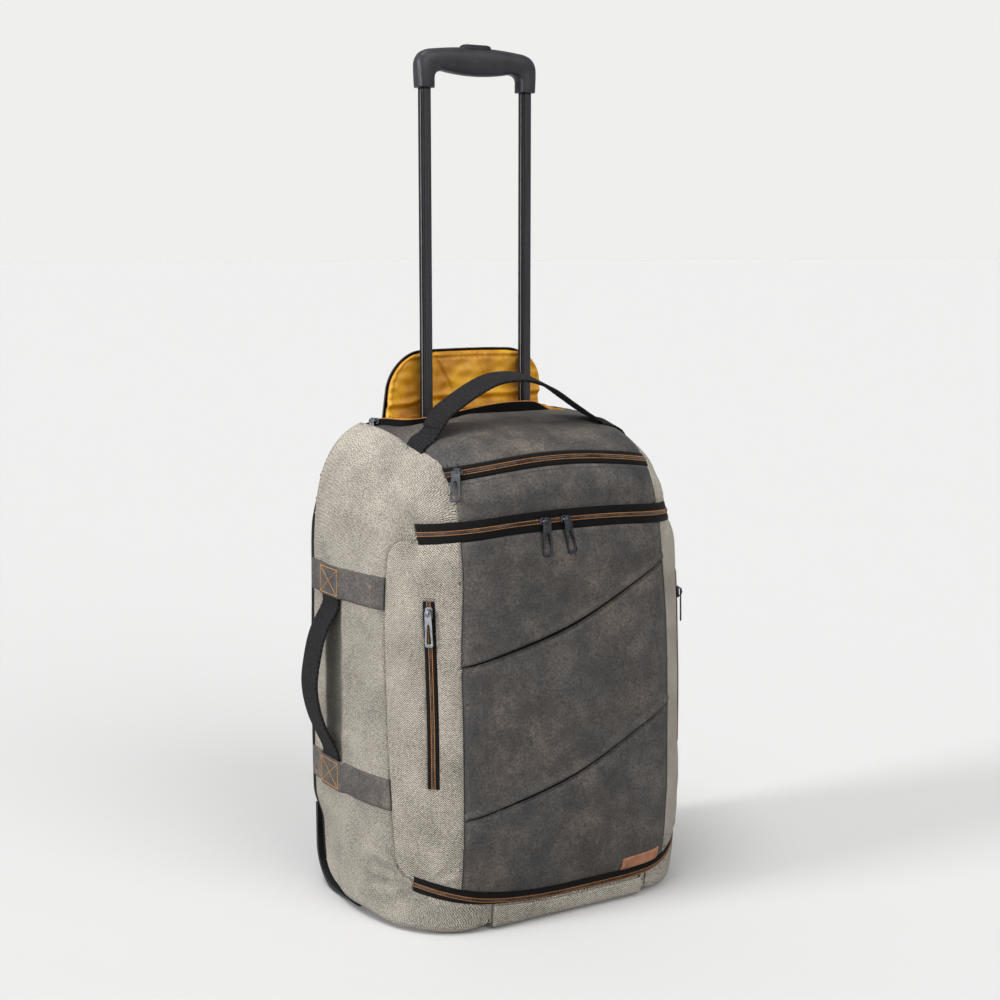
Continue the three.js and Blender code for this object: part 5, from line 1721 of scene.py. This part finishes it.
def grip_outlines(count):
    """Outer and inner outline of the grip in x and z, from its left socket over the bar to its right one."""
    out, into = POLE["x"] + GRIP["leg"], POLE["x"] - GRIP["leg"]
    under, top, half, socket, bend = (GRIP[k] for k in ("under", "top", "half", "socket", "bend"))
    shoulder, flank = top - GRIP["arch"], under + GRIP["flank"]
    bar, drop, lower = into - GRIP["fillet"], under - GRIP["drop"], under - GRIP["fillet"]
    outer = [
        bezier((-out, socket), (-out - 1, under - bend), (-half, flank)),
        bezier((-half, flank), (-half - 1, top - bend), (-into, shoulder), 24),
        bezier((-into, shoulder), (0, top + GRIP["arch"]), (into, shoulder), 40),
        bezier((into, shoulder), (half + 1, top - bend), (half, flank), 24),
        bezier((half, flank), (out + 1, under - bend), (out, socket)),
        np.array([(out, socket)]),
    ]
    inner = [
        bezier((-into, socket), (-into, lower), (-into, drop)),
        bezier((-into, drop), (-into, under), (-bar, under), 20),
        bezier((-bar, under), (0, under - 2 * GRIP["swell"]), (bar, under), 40),
        bezier((bar, under), (into, under), (into, drop), 20),
        bezier((into, drop), (into, lower), (into, socket)),
        np.array([(into, socket)]),
    ]
    return [resample(np.concatenate(side), count) for side in (outer, inner)]


def squared(wave):
    """A sine or cosine whose round turns into a soft square."""
    return np.sign(wave) * np.abs(wave) ** (2 / GRIP["power"])


def add_grip():
    outer, inner = grip_outlines(160)
    turn = full_turn(28)
    across = 0.5 - 0.5 * squared(np.cos(turn))
    depth = squared(np.sin(turn)) * GRIP["deep"] / 2
    flat = outer[:, None] + (inner - outer)[:, None] * across[None, :, None]
    y = np.broadcast_to(POLE["y"] + depth[None], flat.shape[:2])
    rings = np.stack([flat[..., 0], y, flat[..., 1]], -1)
    add_tube("grip_moulding", rings, GRIP_PLASTIC, "plastic", body="handle", replaces=["grip"])
    deep = BUTTON["deep"] / 2
    loop = rounded_loop(BUTTON["half"], -deep, deep, BUTTON["corner"]) + [0, POLE["y"]]
    levels = [(BUTTON["foot"] - BUTTON["sunk"], 0.0)]
    levels += [(BUTTON["top"] + z, inset) for z, inset in BUTTON_CROWN]
    rings, _ = prism(loop, levels)
    add_tube("grip_button_cap", rings, PLASTIC, "plastic", body="button", replaces=["grip_button"])


# Wheels

def lathe(name, profile, middle, material, slot, body, node):
    """A profile of (radius, x) points turned round the wheel's axle."""
    turn = full_turn(72)
    radius, x = np.array(profile).T[..., None]
    y = WHEEL["y"] + radius * np.cos(turn)
    z = WHEEL["z"] + radius * np.sin(turn)
    rings = np.stack([np.broadcast_to(middle + x, y.shape), y, z], -1)
    faces = outward(rings, grid_faces(*rings.shape[:2], True, True))
    piece = add_mesh(name, rings, faces, material, slot, grid_lengths(rings), body=body, replaces=[node])
    return soften(piece, WHEEL["edge"])


def mirrored(profile):
    return profile + [(r, -x) for r, x in reversed(profile)]


def add_wheels():
    half, hub, radius = WHEEL["wide"] / 2, WHEEL["hub"], WHEEL["radius"]
    tread = [(radius + rise, x - half) for rise, x in TREAD] + [(radius + rise, x) for rise, x in GROOVE]
    tyre = mirrored([(hub + WHEEL["gap"], -half)] + tread)
    face = [(WHEEL["bore"], 0.0), *DISH, (hub - WHEEL["gap"], 0.0)]
    dish = mirrored([(r, x - half) for r, x in face])
    for word, sign in SIDES:
        middle, body = sign * WHEEL["x"], f"wheel_{word}"
        lathe(f"tyre_{word}_rubber", tyre, middle, RUBBER, "rubber", body, f"tyre_{word}")
        lathe(f"hub_{word}_moulding", dish, middle, PLASTIC, "plastic", body, f"hub_{word}")


# Webbing, bands, foot, patch and piping

def add_strap(name, path, ways, width, thick, *nodes):
    """Webbing along a path, its width along ways and its borders rounded."""
    along = unit(np.gradient(path, axis=0))
    ways = np.broadcast_to(np.asarray(ways, float), path.shape)
    wide = unit(ways - along * np.sum(along * ways, 1)[:, None])
    out = np.cross(wide, along)
    loop = even_loop(rounded_loop(width / 2, -thick / 2, thick / 2, thick * 0.42, 5), 64)
    rings = path[:, None] + wide[:, None] * loop[None, :, :1] + out[:, None] * loop[None, :, 1:]
    uv = np.stack(np.meshgrid(lengths_along(path), loop[:, 0], indexing="ij"), -1)
    faces = outward(rings, capped_faces(*rings.shape[:2]))
    return add_mesh(name, rings, faces, WEBBING, "webbing", uv, replaces=nodes)


def add_top_handle():
    """The grab handle: its ends are sewn in under the side cloth, and a second layer doubles the arch."""
    y, thick, probe = (TOP_HANDLE[k] for k in ("y", "thick", "probe"))
    ends = []
    for word, sign in SIDES:
        places = [(sign * (TOP_HANDLE[word] + run), gap) for run, gap in TOP_HANDLE_TUCK]
        ends.append([(x, float(on_top(x, y)[2]) + gap) for x, gap in places])
    run = spline(ends[0] + TOP_HANDLE_ARCH + ends[1][::-1], 240)
    path = at_depth(run, y)
    slope = [on_top(x, y + probe)[2] - on_top(x, y - probe)[2] for x in run[:, 0]]
    free = fade(run[:, 1] - run[0, 1], *TOP_HANDLE["rise"])
    tilt = TOP_HANDLE["tilt"] * free + np.array(slope) / (2 * probe) * (1 - free)
    ways = np.stack([0 * tilt, 1 + 0 * tilt, tilt], 1)
    add_strap("top_handle_webbing", path, ways, TOP_HANDLE["base"], thick * TOP_HANDLE["thin"], "top_handle")
    arch = (path[:, 0] > TOP_HANDLE_ARCH[0][0]) & (path[:, 0] < TOP_HANDLE_ARCH[-1][0])
    doubling = path[arch] + [0, 0, TOP_HANDLE["doubling"]]
    add_strap("top_handle_doubling", doubling, ways[arch], TOP_HANDLE["width"], thick)


def add_side_handle():
    """The side handle bows out between the two bands and is sewn in under both."""
    y, width, thick = (SIDE_HANDLE[k] for k in ("y", "width", "thick"))

    def beside(z, gap):
        return float(on_left(y + width / 2, z)[0]) - thick / 2 - gap, z

    out = thick / 2 - SIDE_HANDLE["reach"]
    flat = [beside(*row) for row in SIDE_HANDLE_UPPER]
    flat += [(out + bow, z) for bow, z in SIDE_HANDLE_BOW]
    flat += [beside(*row) for row in SIDE_HANDLE_LOWER]
    path = at_depth(spline(flat, 180), y)
    add_strap("side_handle_webbing", path, (0, 1, 0), width, thick, "side_handle")


def band_lift(y, z, low, high):
    """Height of a leather band over the side: thinner at its edges, raised over the webbing below it."""
    edge = np.minimum(np.minimum(z - low, high - z), np.minimum(y - ridge(z), BAND_REAR - y))
    middle, half, run = SIDE_HANDLE["y"], BAND["half"], BAND["side_run"]
    across = smoothstep((y - middle + half) / run) * smoothstep((middle + half - y) / run)
    tail = SIDE_HANDLE["tail"] + BAND["end"]
    under = (low + tail - z) if low > SIDE_HANDLE["high"] else (z - high + tail)
    over = (SIDE_HANDLE["thick"] + BAND["over"]) * across * smoothstep(under / BAND["end_run"])
    return BAND["thick"] - BAND["thin"] * hump(edge, BAND["edge"]) + over


def add_bands():
    for word, (low, high) in BANDS.items():
        share, z = np.meshgrid(np.linspace(0, 1, 100), np.linspace(low, high, 26), indexing="ij")
        y = between(ridge(z), BAND_REAR, share)
        points = on_left(y, z)
        out = facing(grid_normals(points), (-1, 0, 0))
        name = f"side_band_{word}"
        grid = points + out * band_lift(y, z, low, high)[..., None]
        add_sheet(name + "_leather", grid, (-1, 0, 0), LIT_BAND_LEATHER, "leather", BAND["wall"], replaces=[name])
        add_box_stitch(name + "_stitches", low, high)


def add_box_stitch(name, low, high):
    """An orange box with crossed diagonals where the side handle is sewn under the band."""
    front, rear = SIDE_HANDLE["y"] - BOX_STITCH["half"], SIDE_HANDLE["y"] + BOX_STITCH["half"]
    foot, head = low + BOX_STITCH["margin"], high - BOX_STITCH["margin"]
    corners = [(front, foot), (rear, foot), (rear, head), (front, head)]
    runs = [(corners[k], corners[(k + 1) % 4]) for k in range(4)]
    runs += [(corners[0], corners[2]), (corners[1], corners[3])]
    rows = []
    for start, end in runs:
        y, z = np.linspace(start, end, 40).T
        out = np.tile([-1.0, 0.0, 0.0], (40, 1))
        rows.append((on_left(y, z) + out * band_lift(y, z, low, high)[:, None], out))
    add_stitches(name, rows, "box", ORANGE, "copper_teeth")


def add_foot():
    """The padded cloth skid under the front edge."""
    left, right, floor, tuck = (FOOT[k] for k in ("left", "right", "floor", "tuck"))
    x = np.linspace(left, right, 140)
    share = np.linspace(0, 1, 18)
    low, top = FOOT["low"], base_line(x) - base_tape(x) - FOOT["gap"]
    face, out = front_strip(x, [between(low, top, k) for k in share])
    end = np.clip(np.minimum(x - left, right - x) / FOOT["round"], 0, 1)
    full = np.sqrt(1 - (1 - end) ** 2)
    swell = FOOT["swell"] * (FOOT["flat"] + FOOT["crown"] * np.sin(np.pi * share) ** 0.5)
    front = face + out * ((swell[None] + tuck) * full[:, None] - tuck)[..., None]
    sole = floor + FOOT["end_rise"] * (1 - full)
    rows = np.linspace(FOOT["rear"], FOOT["front"], 12)
    under = [np.stack([x, np.full(len(x), y), sole], 1) for y in rows]
    grid = np.concatenate([np.stack(under, 1), front], 1)
    grid[..., 2] = np.maximum(grid[..., 2], floor)
    piece = add_sheet("front_foot_cloth", grid, (0, -1, -0.2), WEAVE, "weave", FOOT["wall"],
                      replaces=["front_foot"])


def add_patch():
    x = np.linspace(PATCH["left"], PATCH["right"], 40)
    share = np.linspace(0, 1, 14)
    low = base_line(x) + base_tape(x) + PATCH["gap"]
    points, out = front_strip(x, [low + PATCH["high"] * k for k in share], True)
    across = np.minimum(x - x[0], x[-1] - x)[:, None]
    edge = np.minimum(across, np.minimum(share, 1 - share)[None] * PATCH["high"])
    lift = PATCH["thick"] - PATCH["thin"] * hump(edge, PATCH["edge"])
    grid = points + out * lift[..., None]
    add_sheet("patch_leather", grid, (0, -1, 0), TAN, "tan_leather", PATCH["wall"], replaces=["patch"])


def add_piping():
    cord = ring(0, REAR_Y + PIPING["radius"] - PIPING["sunk"], PIPING["inset"])
    hidden = PIPING["hidden"] * fade(cord[:, 2], BACK_SEAM["from"], BACK_SEAM["run"])
    cord[:, [0, 2]] += unit(to_spine(cord[:, [0, 2]])) * hidden[:, None]
    run = cord[(cord[:, 0] > PIPING["end"]) & (cord[:, 2] > PIPING["foot"])]
    for word, sign in SIDES:
        path = resample(tucked(run * [sign, 1, 1]), 160)
        rings = tube_rings(path, (0, 1, 0), PIPING["radius"], PIPING["radius"], 14)
        name = f"back_piping_{word}"
        add_tube(name + "_cord", rings, TAPE, "black_cloth", replaces=[name])


def dress_cad_nodes():
    """The hard pieces whose solids already have the right shape get their finish."""
    finishes = {"tube_bracket_upper": PLASTIC, "tube_bracket_lower": PLASTIC}
    for word, _ in SIDES:
        finishes[f"wheel_guard_{word}"] = PLASTIC
        finishes[f"axle_{word}"] = STEEL
        finishes[f"guide_tube_{word}"] = BLACK_TUBE
    for node, material in finishes.items():
        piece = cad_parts[node]
        piece.data.materials.clear()
        piece.data.materials.append(material)
        soften(piece, CAD_EDGE)


# Camera, floor and light


def add_camera():
    data = bpy.data.cameras.new("camera")
    data.lens = CAMERA["lens"]
    data.sensor_width = CAMERA["sensor"]
    data.clip_end = CAMERA["far"]
    camera = add_object("camera", data)
    camera.location = Vector((np.array(CAMERA["place"]) + SHIFT) * MM)
    azimuth, down = math.radians(CAMERA["azimuth"]), math.radians(CAMERA["down"])
    level = math.cos(down)
    ahead = Vector((-math.sin(azimuth) * level, math.cos(azimuth) * level, -math.sin(down)))
    camera.rotation_euler = ahead.to_track_quat("-Z", "Y").to_euler()
    bpy.context.scene.camera = camera


def add_floor():
    """A floor whose own faint glow makes up for the light it lacks, up to the brightness of the sky."""
    mesh = bpy.data.meshes.new("floor")
    r = FLOOR_REACH
    mesh.from_pydata([(-r, -r, 0), (r, -r, 0), (r, r, 0), (-r, r, 0)], [], [(0, 1, 2, 3)])
    grey = (FLOOR_ALBEDO, FLOOR_ALBEDO, FLOOR_ALBEDO, 1.0)
    glow = srgb(*BACKGROUND)
    sunlight = sum(sun[2] for sun in SUNS) / glow[1]
    missing = 1 - FLOOR_ALBEDO * (SKY_LIGHT["on_floor"] * SKY_LIGHT["above"] + sunlight)
    sockets = {"Specular_IOR_Level": 0.0, "Emission_Color": glow, "Emission_Strength": missing}
    look = Look("pale_floor", grey, 1.0, **sockets)
    mesh.materials.append(look.material)
    floor = add_object("floor", mesh)
    floor.visible_diffuse = False
    floor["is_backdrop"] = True


def add_sky():
    """A soft dome, brighter above than below; the camera sees it at its full brightness all over."""
    world = bpy.data.worlds.new("studio")
    bpy.context.scene.world = world
    world.use_nodes = True
    nodes, links = world.node_tree.nodes, world.node_tree.links
    sky = next(n for n in nodes if n.type == "BACKGROUND")
    sky.inputs["Color"].default_value = srgb(*BACKGROUND)
    way = nodes.new("ShaderNodeSeparateXYZ")
    links.new(nodes.new("ShaderNodeTexCoord").outputs["Generated"], way.inputs[0])
    dome = nodes.new("ShaderNodeMapRange")
    limits = {"From Min": -SKY_LIGHT["horizon"], "From Max": SKY_LIGHT["horizon"],
              "To Min": SKY_LIGHT["below"], "To Max": SKY_LIGHT["above"]}
    for socket, value in limits.items():
        dome.inputs[socket].default_value = value
    links.new(way.outputs["Z"], dome.inputs["Value"])
    seen = nodes.new("ShaderNodeMapRange")
    links.new(dome.outputs["Result"], seen.inputs["To Min"])
    links.new(nodes.new("ShaderNodeLightPath").outputs["Is Camera Ray"], seen.inputs["Value"])
    links.new(seen.outputs["Result"], sky.inputs["Strength"])


def add_lights():
    add_sky()
    for name, to_light, share, angle in SUNS:
        data = bpy.data.lights.new(name, "SUN")
        way = Vector(to_light).normalized()
        data.energy = share * math.pi / way.z
        data.angle = math.radians(angle)
        light = add_object(name, data)
        light.rotation_euler = way.to_track_quat("Z", "Y").to_euler()
    add_strip()
    bpy.context.scene.view_settings.view_transform = "Standard"


def add_strip():
    """A tall narrow lamp that shows only as a bright line on glossy pieces."""
    data = bpy.data.lights.new("strip", "AREA")
    data.shape = "RECTANGLE"
    data.size = STRIP["width"] * MM
    data.size_y = STRIP["height"] * MM
    data.energy = STRIP["power"]
    lamp = add_object("strip", data)
    place = Vector((np.array(STRIP["place"]) + SHIFT) * MM)
    lamp.location = place
    lamp.rotation_euler = Vector((place.x, place.y, 0)).to_track_quat("Z", "Y").to_euler()
    lamp.visible_diffuse = False
    lamp.visible_camera = False


def write_sizes():
    boxes = {"cad": CAD_BOX, "visual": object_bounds()}
    {name: [list(corner) for corner in box] for name, box in boxes.items()}


add_camera()
add_floor()
add_lights()
add_panels()
add_slit_shadow_sheet()
add_zips()
add_seam_stitches()
add_pulls()
add_handle_pocket()
add_flap()
add_poles()
add_grip()
add_wheels()
add_top_handle()
add_side_handle()
add_bands()
add_foot()
add_patch()
add_piping()
dress_cad_nodes()
write_sizes()
